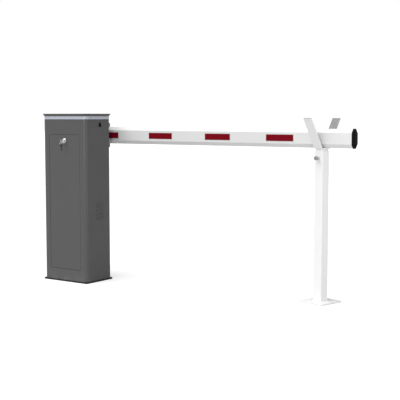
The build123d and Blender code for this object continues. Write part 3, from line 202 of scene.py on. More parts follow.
class Tree:
    """Short calls for adding and joining the nodes of one shader tree."""

    def __init__(self, tree):
        self.tree = tree

    def add(self, kind, values=None, **settings):
        made = self.tree.nodes.new(kind)
        for name, value in settings.items():
            setattr(made, name, value)
        for socket, value in (values or {}).items():
            self.put(made.inputs[socket], value)
        return made

    def put(self, socket, value):
        if isinstance(value, bpy.types.NodeSocket):
            self.tree.links.new(value, socket)
        elif socket.type == "RGBA" and len(value) == 3:
            socket.default_value = (*value, 1.0)
        else:
            socket.default_value = value

    def math(self, operation, *values, clamp=False):
        made = self.add("ShaderNodeMath", dict(enumerate(values)), operation=operation, use_clamp=clamp)
        return made.outputs[0]

    def vector(self, operation, *values):
        made = self.add("ShaderNodeVectorMath", dict(enumerate(values)), operation=operation)
        return made.outputs["Value" if operation in ("LENGTH", "DOT_PRODUCT") else "Vector"]

    def scaled(self, vector, factor):
        made = self.add("ShaderNodeVectorMath", {0: vector, "Scale": factor}, operation="SCALE")
        return made.outputs["Vector"]

    def ramp(self, value, low, high, to_low=0.0, to_high=1.0):
        values = {"Value": value, "From Min": low, "From Max": high, "To Min": to_low, "To Max": to_high}
        return self.add("ShaderNodeMapRange", values).outputs["Result"]

    def noise(self, spot, scale, detail=2.0):
        made = self.add("ShaderNodeTexNoise", {"Vector": spot, "Scale": scale, "Detail": detail})
        return made.outputs["Fac"]

    def blend(self, share_of_second, first, second):
        made = self.add("ShaderNodeMix", data_type="RGBA")
        self.put(made.inputs["Factor"], share_of_second)
        self.put(made.inputs[6], first)
        self.put(made.inputs[7], second)
        return made.outputs[2]

    def pick(self, share_of_second, first, second):
        made = self.add("ShaderNodeMix", data_type="VECTOR")
        self.put(made.inputs["Factor"], share_of_second)
        self.put(made.inputs[4], first)
        self.put(made.inputs[5], second)
        return made.outputs[1]

    def place(self):
        return self.add("ShaderNodeTexCoord").outputs["Object"]

    def split(self, vector):
        return self.add("ShaderNodeSeparateXYZ", {0: vector}).outputs

    def effect(self, name, **values):
        """One of the shared effects, with this material's own values."""
        made = self.add("ShaderNodeGroup")
        made.node_tree = bpy.data.node_groups[name]
        for socket, value in values.items():
            self.put(made.inputs[socket.replace("_", " ").capitalize()], value)
        return made

    def bump(self, height, distance):
        return self.add("ShaderNodeBump", {"Height": height, "Distance": distance}).outputs["Normal"]


def new_effect(name, inputs, outputs):
    """An empty shared effect and its ends: inputs are (name, kind, default), outputs are (name, kind)."""
    group = bpy.data.node_groups.new(name, "ShaderNodeTree")
    for socket, kind, default in inputs:
        made = group.interface.new_socket(socket, in_out="INPUT", socket_type=f"NodeSocket{kind}")
        made.default_value = default
    for socket, kind in outputs:
        group.interface.new_socket(socket, in_out="OUTPUT", socket_type=f"NodeSocket{kind}")
    tree = Tree(group)
    return tree, tree.add("NodeGroupInput").outputs, tree.add("NodeGroupOutput").inputs


def coat_grain_effect():
    """Fine grains of a sprayed or cast skin over a slower orange-peel wave."""
    tree, given, out = new_effect(
        "Coat Grain",
        [("Grain", "Float", 0.001), ("Peel", "Float", 0.006), ("Peel share", "Float", 0.4)],
        [("Height", "Float")],
    )
    spot = tree.place()
    fine = tree.noise(spot, tree.math("DIVIDE", 1.0, given["Grain"]), 1.0)
    slow = tree.noise(spot, tree.math("DIVIDE", 1.0, given["Peel"]), 1.0)
    rest = tree.math("SUBTRACT", 1.0, given["Peel share"])
    total = tree.math("MULTIPLY_ADD", slow, given["Peel share"], tree.math("MULTIPLY", fine, rest))
    tree.put(out["Height"], total)


def tone_drift_effect():
    """Slow cloudy change of a colour, as in any real coat."""
    tree, given, out = new_effect(
        "Tone Drift",
        [("Base", "Color", (0.5, 0.5, 0.5, 1.0)), ("Drift", "Float", 0.05), ("Cloud", "Float", 0.2)],
        [("Color", "Color")],
    )
    cloud = tree.noise(tree.place(), tree.math("DIVIDE", 1.0, given["Cloud"]), 3.0)
    centred = tree.math("SUBTRACT", cloud, 0.5)
    factor = tree.math("MULTIPLY_ADD", centred, tree.math("MULTIPLY", given["Drift"], 2.0), 1.0)
    tree.put(out["Color"], tree.scaled(given["Base"], factor))


def edge_wear_effect():
    """Mask of rubbed edges: where a rounded normal leaves the face's own, broken up by patches."""
    tree, given, out = new_effect(
        "Edge Wear",
        [("Reach", "Float", 0.0008), ("Patch", "Float", 0.02), ("Amount", "Float", 0.3)],
        [("Mask", "Float")],
    )
    rounded = tree.add("ShaderNodeBevel", {"Radius": given["Reach"]}, samples=4).outputs["Normal"]
    own = tree.add("ShaderNodeNewGeometry").outputs["Normal"]
    turn = tree.math("SUBTRACT", 1.0, tree.vector("DOT_PRODUCT", rounded, own))
    edge = tree.ramp(turn, 0.02, 0.25)
    patch = tree.noise(tree.place(), tree.math("DIVIDE", 1.0, given["Patch"]), 4.0)
    broken = tree.ramp(patch, 0.45, 0.65)
    greyed = tree.math("MULTIPLY", edge, broken)
    tree.put(out["Mask"], tree.math("MULTIPLY", greyed, given["Amount"], clamp=True))


def settled_dust_effect():
    """Mask of dust: on faces that look up, and as splashed dirt in the lowest stretch above the ground."""
    tree, given, out = new_effect(
        "Settled Dust",
        [("Amount", "Float", 0.3), ("Splash height", "Float", 0.12), ("Patch", "Float", 0.03)],
        [("Mask", "Float")],
    )
    coordinates = tree.add("ShaderNodeTexCoord").outputs
    upward = tree.split(coordinates["Normal"])["Z"]
    height = tree.split(coordinates["Object"])["Z"]
    lying = tree.ramp(upward, 0.5, 1.0)
    low = tree.ramp(height, given["Splash height"], 0.0)
    splash = tree.math("POWER", low, 2.0)
    speckle = tree.noise(coordinates["Object"], tree.math("DIVIDE", 1.0, given["Patch"]), 5.0)
    patch = tree.ramp(speckle, 0.35, 0.7)
    whole = tree.math("MULTIPLY", tree.math("MAXIMUM", lying, splash), patch)
    tree.put(out["Mask"], tree.math("MULTIPLY", whole, given["Amount"], clamp=True))


def machined_lines_effect():
    """Fine lines left by turning, grinding or drawing, long along the small parts of Stretch."""
    tree, given, out = new_effect(
        "Machined Lines",
        [("Stretch", "Vector", (400.0, 400.0, 20.0))],
        [("Height", "Float"), ("Shade", "Float")],
    )
    stretched = tree.vector("MULTIPLY", tree.place(), given["Stretch"])
    lines = tree.noise(stretched, 1.0, 4.0)
    tree.put(out["Height"], lines)
    tree.put(out["Shade"], tree.ramp(lines, 0.3, 0.7))


def film_cells_effect():
    """Honeycomb of a sealed-cell reflective film in the XZ plane: cell walls as mask and as height."""
    tree, given, out = new_effect(
        "Film Cells",
        [("Cell", "Float", 0.004)],
        [("Wall", "Float"), ("Height", "Float")],
    )
    in_plane = (1.0, 0.0, 1.0)
    period = (1.0, 1.0, math.sqrt(3.0))
    half = tuple(value / 2 for value in period)
    flat = tree.vector("MULTIPLY", tree.place(), in_plane)
    scaled = tree.scaled(flat, tree.math("DIVIDE", 1.0, given["Cell"]))
    shifted = tree.vector("SUBTRACT", scaled, half)
    wrapped = []
    for start in (scaled, shifted):
        centred = tree.vector("SUBTRACT", tree.vector("WRAP", start, period, (0.0, 0.0, 0.0)), half)
        wrapped.append(tree.vector("MULTIPLY", centred, in_plane))
    first, second = wrapped
    nearer = tree.math("LESS_THAN", tree.vector("LENGTH", second), tree.vector("LENGTH", first))
    own = tree.vector("ABSOLUTE", tree.pick(nearer, first, second))
    slanted = tree.vector("DOT_PRODUCT", own, (0.5, 0.0, math.sqrt(3.0) / 2))
    sideways = tree.split(own)["X"]
    wall = tree.ramp(tree.math("MAXIMUM", slanted, sideways), 0.42, 0.47)
    tree.put(out["Wall"], wall)
    tree.put(out["Height"], wall)


EFFECTS = (
    coat_grain_effect,
    tone_drift_effect,
    edge_wear_effect,
    settled_dust_effect,
    machined_lines_effect,
    film_cells_effect,
)


def shared_effects():
    """Builds the shared effects once."""
    if "Coat Grain" not in bpy.data.node_groups:
        for build in EFFECTS:
            build()


def new_material(name, **constants):
    """A material with one Principled shader, whose even values stand on the shader's own sockets."""
    shared_effects()
    material = bpy.data.materials.new(name)
    material.use_nodes = True
    tree = Tree(material.node_tree)
    shader = material.node_tree.nodes["Principled BSDF"]
    for socket, value in constants.items():
        tree.put(shader.inputs[socket.replace("_", " ")], value)
    return material, tree, shader


# ---------------------------------------------------------------- finishes


def coated(
    name, base, roughness, grain, depth, dust, wear, under=GREY_PRIMER, drift=0.06, coat=0.0, specular=0.5
):
    """Sprayed coat on metal: grain, cloudy tone, dust, and rubbed edges that show what is under it."""
    material, tree, shader = new_material(
        name, Coat_Weight=coat, Coat_Roughness=0.25, IOR=1.5, Specular_IOR_Level=specular,
    )
    tone = tree.effect("Tone Drift", base=base, drift=drift, cloud=0.22).outputs["Color"]
    worn = tree.effect("Edge Wear", reach=0.0009, patch=0.018, amount=wear).outputs["Mask"]
    dusty = tree.effect("Settled Dust", amount=dust, splash_height=0.1, patch=0.035).outputs["Mask"]
    height = tree.effect("Coat Grain", grain=grain, peel=grain * 6, peel_share=0.35).outputs["Height"]
    painted = tree.blend(worn, tone, under)
    tree.put(shader.inputs["Base Color"], tree.blend(dusty, painted, DUST))
    patchy = tree.ramp(tree.noise(tree.place(), 14.0, 3.0), 0.3, 0.7, roughness - 0.05, roughness + 0.05)
    tree.put(shader.inputs["Roughness"], tree.math("MULTIPLY_ADD", dusty, 0.4, patchy, clamp=True))
    tree.put(shader.inputs["Normal"], tree.bump(height, depth))
    return material


def bare_metal(name, base, roughness, stretch, depth=0.00003, drift=0.08, dust=0.05):
    """Machined, drawn or plated metal with its fine lines."""
    material, tree, shader = new_material(name, Metallic=1.0)
    tone = tree.effect("Tone Drift", base=base, drift=drift, cloud=0.05).outputs["Color"]
    lines = tree.effect("Machined Lines", stretch=stretch).outputs
    dusty = tree.effect("Settled Dust", amount=dust, splash_height=0.05, patch=0.02).outputs["Mask"]
    tree.put(shader.inputs["Base Color"], tree.blend(dusty, tone, DUST))
    rough = tree.ramp(lines["Shade"], 0.0, 1.0, roughness - 0.06, roughness + 0.08)
    tree.put(shader.inputs["Roughness"], rough)
    tree.put(shader.inputs["Normal"], tree.bump(lines["Height"], depth))
    return material


def moulded(name, base, roughness, grain=0.0008, depth=0.00004, dust=0.1, drift=0.05, specular=0.5):
    """Moulded plastic or rubber with a fine spark-eroded skin."""
    material, tree, shader = new_material(name, IOR=1.46, Specular_IOR_Level=specular)
    tone = tree.effect("Tone Drift", base=base, drift=drift, cloud=0.08).outputs["Color"]
    worn = tree.effect("Edge Wear", reach=0.0007, patch=0.01, amount=0.25).outputs["Mask"]
    dusty = tree.effect("Settled Dust", amount=dust, splash_height=0.05, patch=0.02).outputs["Mask"]
    height = tree.effect("Coat Grain", grain=grain, peel=grain * 5, peel_share=0.3).outputs["Height"]
    scuffed = tree.blend(worn, tone, tuple(min(1.0, value * 1.8 + 0.01) for value in base))
    tree.put(shader.inputs["Base Color"], tree.blend(dusty, scuffed, DUST))
    tree.put(shader.inputs["Roughness"], tree.ramp(height, 0.3, 0.7, roughness - 0.04, roughness + 0.06))
    tree.put(shader.inputs["Normal"], tree.bump(height, depth))
    return material


def cabinet_coat():
    coat = bpy.context.scene.barrier_coat
    return coated("Cabinet powder coat", tuple(coat.cabinet_grey), 0.40, coat.grain, coat.grain_depth,
                  coat.dust * 0.35, coat.wear, coat=0.3, specular=0.2)


def plinth_coat():
    coat = bpy.context.scene.barrier_coat
    return coated("Plinth black coat", tuple(coat.plinth_black), 0.5, coat.grain, coat.grain_depth,
                  coat.dust * 0.1, coat.wear, specular=0.3)


def boom_coat():
    coat = bpy.context.scene.barrier_coat
    return coated("Boom white coat", tuple(coat.boom_white), 0.34, coat.grain * 0.6, coat.grain_depth * 0.5,
                  coat.dust * 0.15, coat.wear * 0.5, under=BARE_STEEL, drift=0.03, coat=0.2)


def post_coat(name="Post white powder coat"):
    coat = bpy.context.scene.barrier_coat
    return coated(name, tuple(coat.post_white), 0.38, coat.grain, coat.grain_depth,
                  coat.dust * 0.4, coat.wear * 0.5, under=BARE_STEEL, drift=0.025, coat=0.1)


def fork_coat(inner_slope=0.3):
    """The post's coat, turned a dull grey in patches on the faces that look up into the fork."""
    upward_face_grey = tuple(bpy.context.scene.barrier_coat.fork_upward_grey)
    material = post_coat("Fork white powder coat")
    tree = Tree(material.node_tree)
    base = material.node_tree.nodes["Principled BSDF"].inputs["Base Color"]
    painted = base.links[0].from_socket
    # Faces whose normal points up, such as the inner faces of the fork's arms, turn grey in patches
    upward = tree.split(tree.add("ShaderNodeTexCoord").outputs["Normal"])["Z"]
    greyed = tree.ramp(upward, inner_slope, inner_slope + 0.05)
    patchy = tree.ramp(tree.noise(tree.place(), 40.0, 4.0), 0.2, 0.5, 0.8, 1.0)
    tree.put(base, tree.blend(tree.math("MULTIPLY", greyed, patchy), painted, upward_face_grey))
    return material


def frame_paint():
    coat = bpy.context.scene.barrier_coat
    return coated("Drive frame paint", tuple(coat.frame_grey), 0.45, coat.grain, coat.grain_depth,
                  coat.dust * 0.4, coat.wear, under=BARE_STEEL)


def spring_coat():
    return coated("Spring black paint", (0.03, 0.03, 0.032), 0.4, 0.0008, 0.00003, 0.1, 0.4, under=BARE_STEEL)


def cast_iron():
    return coated("Bearing housing casting", (0.22, 0.225, 0.23), 0.6, 0.0016, 0.0002, 0.15, 0.35,
                  under=BARE_STEEL, drift=0.12)


def zinc_plate():
    return bare_metal("Zinc plate", (0.62, 0.63, 0.64), 0.36, (120.0, 120.0, 60.0), drift=0.14)


def ground_steel():
    return bare_metal("Ground steel", (0.62, 0.63, 0.64), 0.24, (900.0, 40.0, 900.0))


def drive_alloy():
    return bare_metal("Drive alloy casting", (0.55, 0.56, 0.57), 0.48, (300.0, 300.0, 300.0), depth=0.0002,
                      drift=0.1, dust=0.15)


def link_steel():
    return bare_metal("Link steel", (0.46, 0.46, 0.47), 0.34, (60.0, 700.0, 60.0), drift=0.1)


def turned_brass():
    return bare_metal("Turned brass", (0.62, 0.46, 0.19), 0.28, (900.0, 60.0, 60.0))


def lock_chrome():
    return bare_metal("Lock chrome", (0.70, 0.70, 0.71), 0.26, (120.0, 900.0, 120.0), depth=0.00001,
                      drift=0.04)


def key_nickel():
    return bare_metal("Key nickel", (0.78, 0.77, 0.74), 0.22, (80.0, 80.0, 900.0), depth=0.00002, drift=0.06)


def key_steel():
    return bare_metal("Key steel", (0.20, 0.20, 0.19), 0.34, (80.0, 80.0, 900.0), depth=0.00002, drift=0.1)


def clamp_steel():
    return bare_metal("Clamp bolt steel", (0.42, 0.42, 0.43), 0.4, (700.0, 60.0, 700.0), drift=0.12)


def black_plastic():
    return moulded("Black moulded plastic", (0.006, 0.006, 0.0065), 0.36, dust=0.01, specular=0.05)


def seal_rubber():
    return moulded("Seal rubber", (0.02, 0.02, 0.02), 0.72, grain=0.0012, depth=0.00008)


def box_plastic():
    return moulded("Control box plastic", (0.46, 0.46, 0.44), 0.5, grain=0.0011, dust=0.2)


def light_band():
    """Milky diffuser whose lamps show as soft brighter stretches along it."""
    band = bpy.context.scene.barrier_band
    material, tree, shader = new_material(
        "Light band diffuser", IOR=1.49, Coat_Weight=0.6, Coat_Roughness=0.12,
        Emission_Strength=band.glow_strength,
    )
    tone = tree.effect("Tone Drift", base=tuple(band.milk), drift=0.04, cloud=0.09).outputs["Color"]
    place_on = tree.split(tree.place())
    along = tree.math("ADD", place_on["X"], place_on["Y"])
    wave = tree.math("SINE", tree.math("MULTIPLY", along, math.tau / band.lamp_pitch))
    lamps = tree.ramp(wave, -1.0, 1.0, 0.55, 1.0)
    height = tree.effect("Coat Grain", grain=0.0014, peel=0.01, peel_share=0.6).outputs["Height"]
    tree.put(shader.inputs["Base Color"], tone)
    tree.put(shader.inputs["Emission Color"], tree.scaled(tuple(band.glow), lamps))
    tree.put(shader.inputs["Roughness"], tree.ramp(height, 0.3, 0.7, 0.34, 0.42))
    tree.put(shader.inputs["Normal"], tree.bump(height, 0.00004))
    return material


def reflective_film(name, base, wall):
    """Glossy sealed-cell film: darker body between paler welded walls, under a clear face."""
    film = bpy.context.scene.barrier_film
    material, tree, shader = new_material(name, IOR=1.45, Specular_IOR_Level=0.04)
    tone = tree.effect("Tone Drift", base=base, drift=0.08, cloud=0.04).outputs["Color"]
    cells = tree.effect("Film Cells", cell=film.cell).outputs
    tree.put(shader.inputs["Base Color"], tree.blend(tree.math("MULTIPLY", cells["Wall"], 0.35), tone, wall))
    tree.put(shader.inputs["Roughness"], tree.ramp(cells["Wall"], 0.0, 1.0, 0.38, 0.55))
    tree.put(shader.inputs["Normal"], tree.bump(cells["Height"], film.cell_depth))
    return material


def red_film():
    return reflective_film("Red reflective film", tuple(bpy.context.scene.barrier_film.red), RED_WALL)


def border_film():
    return reflective_film("Pale border film", tuple(bpy.context.scene.barrier_film.border), PALE_WALL)


def circuit_board(face, part_colour=(0.03, 0.035, 0.05)):
    """Green laminate with copper tracks; whatever stands proud of its face is a dark component."""
    material, tree, shader = new_material("Circuit board", IOR=1.5)
    spot = tree.place()
    split = tree.split(spot)
    on_face = tree.add("ShaderNodeCombineXYZ", {0: split["X"], 1: split["Z"]}).outputs[0]
    tracks = tree.add("ShaderNodeTexBrick", {"Vector": on_face, "Scale": 60.0, "Mortar Size": 0.05})
    copper = tree.ramp(tracks.outputs["Fac"], 0.0, 1.0, 0.0, 0.5)
    laminate = tree.blend(copper, GREEN_LAMINATE, COPPER_TRACK)
    proud = tree.math("LESS_THAN", split["Y"], face)
    tone = tree.effect("Tone Drift", base=part_colour, drift=0.2, cloud=0.02).outputs["Color"]
    tree.put(shader.inputs["Base Color"], tree.blend(proud, laminate, tone))
    tree.put(shader.inputs["Roughness"], tree.ramp(tree.noise(spot, 300.0), 0.3, 0.7, 0.34, 0.5))
    return material


def weld_metal():
    base = tuple(bpy.context.scene.barrier_coat.post_white)
    return coated("Weld under white coat", base, 0.4, 0.001, 0.0001, 0.3, 0.3, under=BARE_STEEL, drift=0.05)


def floor_finish():
    """Plain pale floor, only faintly uneven."""
    stage = bpy.context.scene.barrier_stage
    base = tuple(stage.floor_tone)
    material, tree, shader = new_material(
        "Pale floor", Specular_IOR_Level=0.0, Emission_Strength=stage.floor_lift
    )
    tone = tree.effect("Tone Drift", base=base, drift=0.01, cloud=0.5).outputs["Color"]
    seen = tree.add("ShaderNodeLightPath").outputs["Is Camera Ray"]
    tree.put(shader.inputs["Emission Color"], tree.blend(seen, (0.0, 0.0, 0.0), (1.0, 1.0, 1.0)))
    tree.put(shader.inputs["Base Color"], tone)
    tree.put(shader.inputs["Roughness"], tree.ramp(tree.noise(tree.place(), 3.0), 0.3, 0.7, 0.85, 0.95))
    return material


def dress(material, *names):
    """Gives CAD nodes their finish."""
    for name in names:
        for slot in NODES[name].material_slots:
            slot.material = material


# ---------------------------------------------------------------- pieces


def new_piece(name, mesh, material):
    piece = bpy.data.objects.new(name, mesh)
    bpy.context.scene.collection.objects.link(piece)
    mesh.materials.append(material)
    mesh.shade_smooth()
    return piece


def sweep(shape, centres, radii, sides, closed=False):
    """Adds to a bmesh a round bar along points, with a radius for each point."""
    sections = len(centres)
    rings = []
    for index, (centre, radius) in enumerate(zip(centres, radii)):
        before = centres[index - 1] if index or closed else centre
        after = centres[(index + 1) % sections] if index + 1 < sections or closed else centre
        forward = (after - before).normalized()
        outward = forward.cross(Vector((0, 0, 1))).normalized()
        upward = outward.cross(forward)
        ring = []
        for side in range(sides):
            turn = math.tau * side / sides
            reach = (outward * math.cos(turn) + upward * math.sin(turn)) * radius
            ring.append(shape.verts.new(centre + reach))
        rings.append(ring)
    for index in range(sections if closed else sections - 1):
        first, second = rings[index], rings[(index + 1) % sections]
        for side in range(sides):
            following = (side + 1) % sides
            shape.faces.new((first[side], first[following], second[following], second[side]))
    if not closed:
        shape.faces.new(reversed(rings[0]))
        shape.faces.new(rings[-1])


def spring_line(centre, bottom, top, radius, settings):
    """Centreline of an extension spring: close turns at both ends and an even pitch between."""
    wire = settings.wire
    close_pitch = CLOSE_PITCH * wire
    low, high = bottom + wire, top - wire
    turns = settings.turns + 2 * settings.closed_turns
    open_pitch = (high - low - 2 * settings.closed_turns * close_pitch) / settings.turns
    points = []
    for step in range(turns * settings.steps + 1):
        turned = step / settings.steps
        first = min(turned, settings.closed_turns)
        last = max(0.0, turned - settings.closed_turns - settings.turns)
        middle = turned - first - last
        swing = math.tau * turned
        height = low + (first + last) * close_pitch + middle * open_pitch
        points.append(centre + Vector((radius * math.cos(swing), radius * math.sin(swing), height)))
    return points


def square_loop(centre, half, corner, turned, height, pitch):
    """Closed path round a turned square tube with rounded corners, in even steps."""
    straight = 2 * (half - corner)
    arc = corner * math.pi / 2
    total = 4 * (straight + arc)
    steps = RIPPLE_STEPS * round(total / pitch)
    points = []
    for index in range(steps):
        travelled = total * index / steps
        side, rest = divmod(travelled, straight + arc)
        turn = side * math.pi / 2 + turned
        if rest < straight:
            x, y = half, rest - straight / 2
        else:
            swung = (rest - straight) / corner
            x = half - corner + corner * math.cos(swung)
            y = straight / 2 + corner * math.sin(swung)
        across = x * math.cos(turn) - y * math.sin(turn)
        along = x * math.sin(turn) + y * math.cos(turn)
        points.append(Vector((centre.x + across, centre.y + along, height)))
    return points


class BarrierOperator(bpy.types.Operator):
    bl_options = {"REGISTER", "UNDO"}


class BARRIER_OT_stage(BarrierOperator):
    """Camera, plain floor and soft studio light"""

    bl_idname = "barrier.stage"
    bl_label = "Stage"

    def execute(self, context):
        stage = context.scene.barrier_stage
        context.scene.view_settings.view_transform = "Standard"
        self.add_camera(context, stage)
        self.add_floor(context, stage)
        self.add_world(context, stage)
        self.add_sun(context, stage)
        middle = (CAD_BOX[0] + CAD_BOX[1]) / 2
        front_size = (stage.front_width, stage.light_height)
        front_place = Vector(stage.front_place)
        self.add_light(context, "Front light", front_place, middle, front_size, stage.front_power)
        post_low, post_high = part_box("post_tube")
        post = (post_low + post_high) / 2
        side_size = (stage.side_width, stage.light_height)
        side_place = post + Vector(stage.side_offset)
        self.add_light(context, "Post light", side_place, post, side_size, stage.side_power)
        return {"FINISHED"}

    def add_camera(self, context, stage):
        camera = bpy.data.objects.new("Camera", bpy.data.cameras.new("Camera"))
        context.scene.collection.objects.link(camera)
        azimuth, elevation = stage.azimuth, stage.elevation
        back = Vector((
            math.sin(azimuth) * math.cos(elevation),
            -math.cos(azimuth) * math.cos(elevation),
            math.sin(elevation),
        ))
        camera.location = Vector(stage.aim) + back * stage.distance
        camera.rotation_euler = (math.pi / 2 - elevation, 0.0, azimuth)
        camera.data.lens = stage.lens
        context.scene.camera = camera

    def add_floor(self, context, stage):
        mesh = bpy.data.meshes.new("floor")
        shape = bmesh.new()
        bmesh.ops.create_circle(shape, cap_ends=True, radius=stage.floor_radius, segments=96)
        shape.to_mesh(mesh)
        shape.free()
        floor = bpy.data.objects.new("floor", mesh)
        context.scene.collection.objects.link(floor)
        floor.location.z = CAD_BOX[0].z
        mesh.materials.append(floor_finish())

    def add_world(self, context, stage):
        world = bpy.data.worlds.new("Studio")
        world.use_nodes = True
        tree = Tree(world.node_tree)
        background = world.node_tree.nodes["Background"]
        seen = tree.add("ShaderNodeLightPath").outputs["Is Camera Ray"]
        tree.put(background.inputs["Color"], (1.0, 1.0, 1.0))
        tree.put(background.inputs["Strength"], tree.ramp(seen, 0.0, 1.0, stage.fill, 1.0))
        context.scene.world = world

    def add_sun(self, context, stage):
        lamp = bpy.data.lights.new("Key light", "SUN")
        lamp.energy = stage.key_strength
        lamp.angle = stage.key_softness
        light = bpy.data.objects.new("Key light", lamp)
        context.scene.collection.objects.link(light)
        light.rotation_euler = (-Vector(stage.key_from)).to_track_quat("-Z", "Y").to_euler()

    def add_light(self, context, name, stand, target, size, power):
        lamp = bpy.data.lights.new(name, "AREA")
        lamp.shape = "RECTANGLE"
        lamp.size, lamp.size_y = size
        lamp.energy = power
        light = bpy.data.objects.new(name, lamp)
        context.scene.collection.objects.link(light)
        light.location = stand
        light.rotation_euler = (target - stand).to_track_quat("-Z", "Y").to_euler()


class BARRIER_OT_cabinet(BarrierOperator):
    """Cabinet shell, lid, base plate, door frame and seals"""

    bl_idname = "barrier.cabinet"
    bl_label = "Cabinet"

    def execute(self, context):
        dress(cabinet_coat(), "cabinet_shell", "lid")
        # The door frame takes the black plinth coat as painted shade: it darkens the thin gap round the door
        dress(plinth_coat(), "base_plate", "door_frame")
        dress(seal_rubber(), "band_gasket", "door_seal")
        return {"FINISHED"}


class BARRIER_OT_light_band(BarrierOperator):
    """Light band under the lid"""

    bl_idname = "barrier.light_band"
    bl_label = "Light Band"

    def execute(self, context):
        dress(light_band(), "led_diffuser")
        return {"FINISHED"}


class BARRIER_OT_door(BarrierOperator):
    """Door panel and its stiffener"""

    bl_idname = "barrier.door"
    bl_label = "Door"

    def execute(self, context):
        dress(bpy.data.materials["Cabinet powder coat"], "door_panel")
        dress(zinc_plate(), "door_stiffener")
        return {"FINISHED"}


class BARRIER_OT_lock(BarrierOperator):
    """Door lock with its cam, key, ring and spare key"""

    bl_idname = "barrier.lock"
    bl_label = "Lock and Keys"

    def execute(self, context):
        dress(lock_chrome(), "lock_rosette", "lock_cylinder")
        dress(key_nickel(), "key", "key_ring")
        dress(key_steel(), "spare_key")
        dress(bpy.data.materials["Zinc plate"], "lock_cam")
        return {"FINISHED"}


class BARRIER_OT_release(BarrierOperator):
    """Hand release behind the small swinging cover"""

    bl_idname = "barrier.release"
    bl_label = "Hand Release"

    def execute(self, context):
        dress(black_plastic(), "release_cover")
        dress(turned_brass(), "release_bush")
        dress(link_steel(), "release_spindle")
        return {"FINISHED"}


class BARRIER_OT_drive_frame(BarrierOperator):
    """Plates, bars, bearings and stops that carry the drive"""

    bl_idname = "barrier.drive_frame"
    bl_label = "Drive Frame"

    def execute(self, context):
        dress(frame_paint(), "back_plate", "front_plate", "stop_bars", "spring_shelf")
        dress(cast_iron(), "bearing_housings")
        dress(ground_steel(), "shaft_bearings", "main_shaft")
        dress(bpy.data.materials["Zinc plate"], "tie_bars", "frame_bolts", "control_plate",
              "spring_tensioners")
        dress(bpy.data.materials["Seal rubber"], "stop_buffers")
        dress(bpy.data.materials["Black moulded plastic"], "limit_switches", "limit_cams")
        return {"FINISHED"}


class BARRIER_OT_drive(BarrierOperator):
    """Gear motor and the linkage that turns the boom shaft"""

    bl_idname = "barrier.drive"
    bl_label = "Drive"

    def execute(self, context):
        dress(drive_alloy(), "gearbox_housing", "motor_body")
        dress(bpy.data.materials["Black moulded plastic"], "motor_fan_cover")
        dress(bpy.data.materials["Ground steel"], "output_shaft", "lever_pins")
        dress(bpy.data.materials["Link steel"], "crank_arm", "connecting_rod", "rocker_arm", "spring_lever")
        dress(bpy.data.materials["Zinc plate"], "spring_hangers")
        return {"FINISHED"}


class BARRIER_OT_springs(BarrierOperator):
    """Balance springs as wound wire, with close turns at each end"""

    bl_idname = "barrier.springs"
    bl_label = "Balance Springs"

    def execute(self, context):
        settings = context.scene.barrier_spring
        low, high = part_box("balance_springs")
        outer = (high.x - low.x) / 2
        middle = (low.x + high.x) / 2
        shape = bmesh.new()
        for depth in (low.y + outer, high.y - outer):
            centre = Vector((middle, depth, 0.0))
            line = spring_line(centre, low.z, high.z, outer - settings.wire, settings)
            sweep(shape, line, [settings.wire] * len(line), settings.sides)
        mesh = bpy.data.meshes.new("balance_spring_wire")
        shape.to_mesh(mesh)
        shape.free()
        springs = new_piece("balance_spring_wire", mesh, spring_coat())
        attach(springs, "cabinet")
        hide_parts("balance_springs")
        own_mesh(springs)
        return {"FINISHED"}


class BARRIER_OT_controls(BarrierOperator):
    """Control box, its cover and the circuit board in it"""

    bl_idname = "barrier.controls"
    bl_label = "Controls"

    def execute(self, context):
        dress(box_plastic(), "control_box", "control_box_cover")
        board_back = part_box("control_board")[1].y
        dress(circuit_board(board_back - LAMINATE_DEPTH), "control_board")
        return {"FINISHED"}


class BARRIER_OT_boom(BarrierOperator):
    """Boom tube, end caps and the holder that clamps it to the hub"""

    bl_idname = "barrier.boom"
    bl_label = "Boom"

    def execute(self, context):
        dress(boom_coat(), "boom_tube")
        dress(bpy.data.materials["Black moulded plastic"], "boom_end_caps")
        dress(bpy.data.materials["Drive frame paint"], "boom_hub", "boom_holder", "holder_clamp")
        dress(bpy.data.materials["Zinc plate"], "holder_bolts")
        return {"FINISHED"}


class BARRIER_OT_strips(BarrierOperator):
    """Red reflective strips and their pale borders on both faces of the boom"""

    bl_idname = "barrier.strips"
    bl_label = "Reflective Strips"

    def execute(self, context):
        dress(red_film(), "red_strips")
        dress(border_film(), "strip_borders")
        return {"FINISHED"}


class BARRIER_OT_post(BarrierOperator):
    """Support post with its plate, fork and clamp bolt"""

    bl_idname = "barrier.post"
    bl_label = "Post and Fork"

    def execute(self, context):
        dress(post_coat(), "post_plate", "post_tube", "fork_stem")
        dress(fork_coat(), "fork_cradle")
        dress(clamp_steel(), "clamp_bolt")
        dress(bpy.data.materials["Zinc plate"], "clamp_nut")
        return {"FINISHED"}


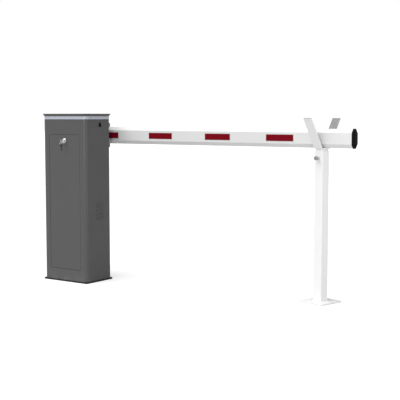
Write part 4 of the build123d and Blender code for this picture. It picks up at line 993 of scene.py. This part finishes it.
class BARRIER_OT_welds(BarrierOperator):
    """Weld bead round the foot of the post"""

    bl_idname = "barrier.welds"
    bl_label = "Welds"

    def execute(self, context):
        settings = context.scene.barrier_weld
        low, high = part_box("post_tube")
        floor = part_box("post_plate")[1].z
        along_x, along_y, _ = JOINTS["clamp_bolt_turn"]["axis"]
        turned = math.atan2(along_x, -along_y)
        corner = settings.corner
        reach = (high.x - low.x) / 2 - corner
        half = reach / (math.cos(turned) + abs(math.sin(turned))) + corner
        line = square_loop((low + high) / 2, half, corner, turned, floor, settings.ripple)
        radii = []
        for index in range(len(line)):
            swell = abs(math.sin(math.pi * index / RIPPLE_STEPS))
            radii.append(settings.bead + settings.ripple_depth * swell)
        shape = bmesh.new()
        sweep(shape, line, radii, settings.sides, closed=True)
        mesh = bpy.data.meshes.new("post_foot_weld")
        shape.to_mesh(mesh)
        shape.free()
        weld = new_piece("post_foot_weld", mesh, weld_metal())
        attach(weld, "cabinet")
        return {"FINISHED"}


OPERATORS = (
    BARRIER_OT_stage,
    BARRIER_OT_cabinet,
    BARRIER_OT_light_band,
    BARRIER_OT_door,
    BARRIER_OT_lock,
    BARRIER_OT_release,
    BARRIER_OT_drive_frame,
    BARRIER_OT_drive,
    BARRIER_OT_springs,
    BARRIER_OT_controls,
    BARRIER_OT_boom,
    BARRIER_OT_strips,
    BARRIER_OT_post,
    BARRIER_OT_welds,
)

SETTINGS = {
    "barrier_coat": BarrierCoatSettings,
    "barrier_film": BarrierFilmSettings,
    "barrier_band": BarrierBandSettings,
    "barrier_spring": BarrierSpringSettings,
    "barrier_weld": BarrierWeldSettings,
    "barrier_stage": BarrierStageSettings,
}


class BARRIER_PT_panel(bpy.types.Panel):
    bl_idname = "BARRIER_PT_panel"
    bl_label = "Boom Barrier"
    bl_space_type = "VIEW_3D"
    bl_region_type = "UI"
    bl_category = "Barrier"

    def draw(self, context):
        for name in SETTINGS:
            settings = getattr(context.scene, name)
            box = self.layout.box()
            for prop in settings.bl_rna.properties:
                if prop.identifier not in ("name", "rna_type"):
                    box.prop(settings, prop.identifier)
        for operator in OPERATORS:
            self.layout.operator(operator.bl_idname)


def register():
    for name, settings in SETTINGS.items():
        bpy.utils.register_class(settings)
        setattr(bpy.types.Scene, name, PointerProperty(type=settings))
    for operator in OPERATORS:
        bpy.utils.register_class(operator)
    bpy.utils.register_class(BARRIER_PT_panel)


def unregister():
    bpy.utils.unregister_class(BARRIER_PT_panel)
    for operator in reversed(OPERATORS):
        bpy.utils.unregister_class(operator)
    for name, settings in SETTINGS.items():
        delattr(bpy.types.Scene, name)
        bpy.utils.unregister_class(settings)


def main():
    register()
    for operator in OPERATORS:
        group, action = operator.bl_idname.split(".")
        getattr(getattr(bpy.ops, group), action)()


if __name__ == "__main__":
    main()
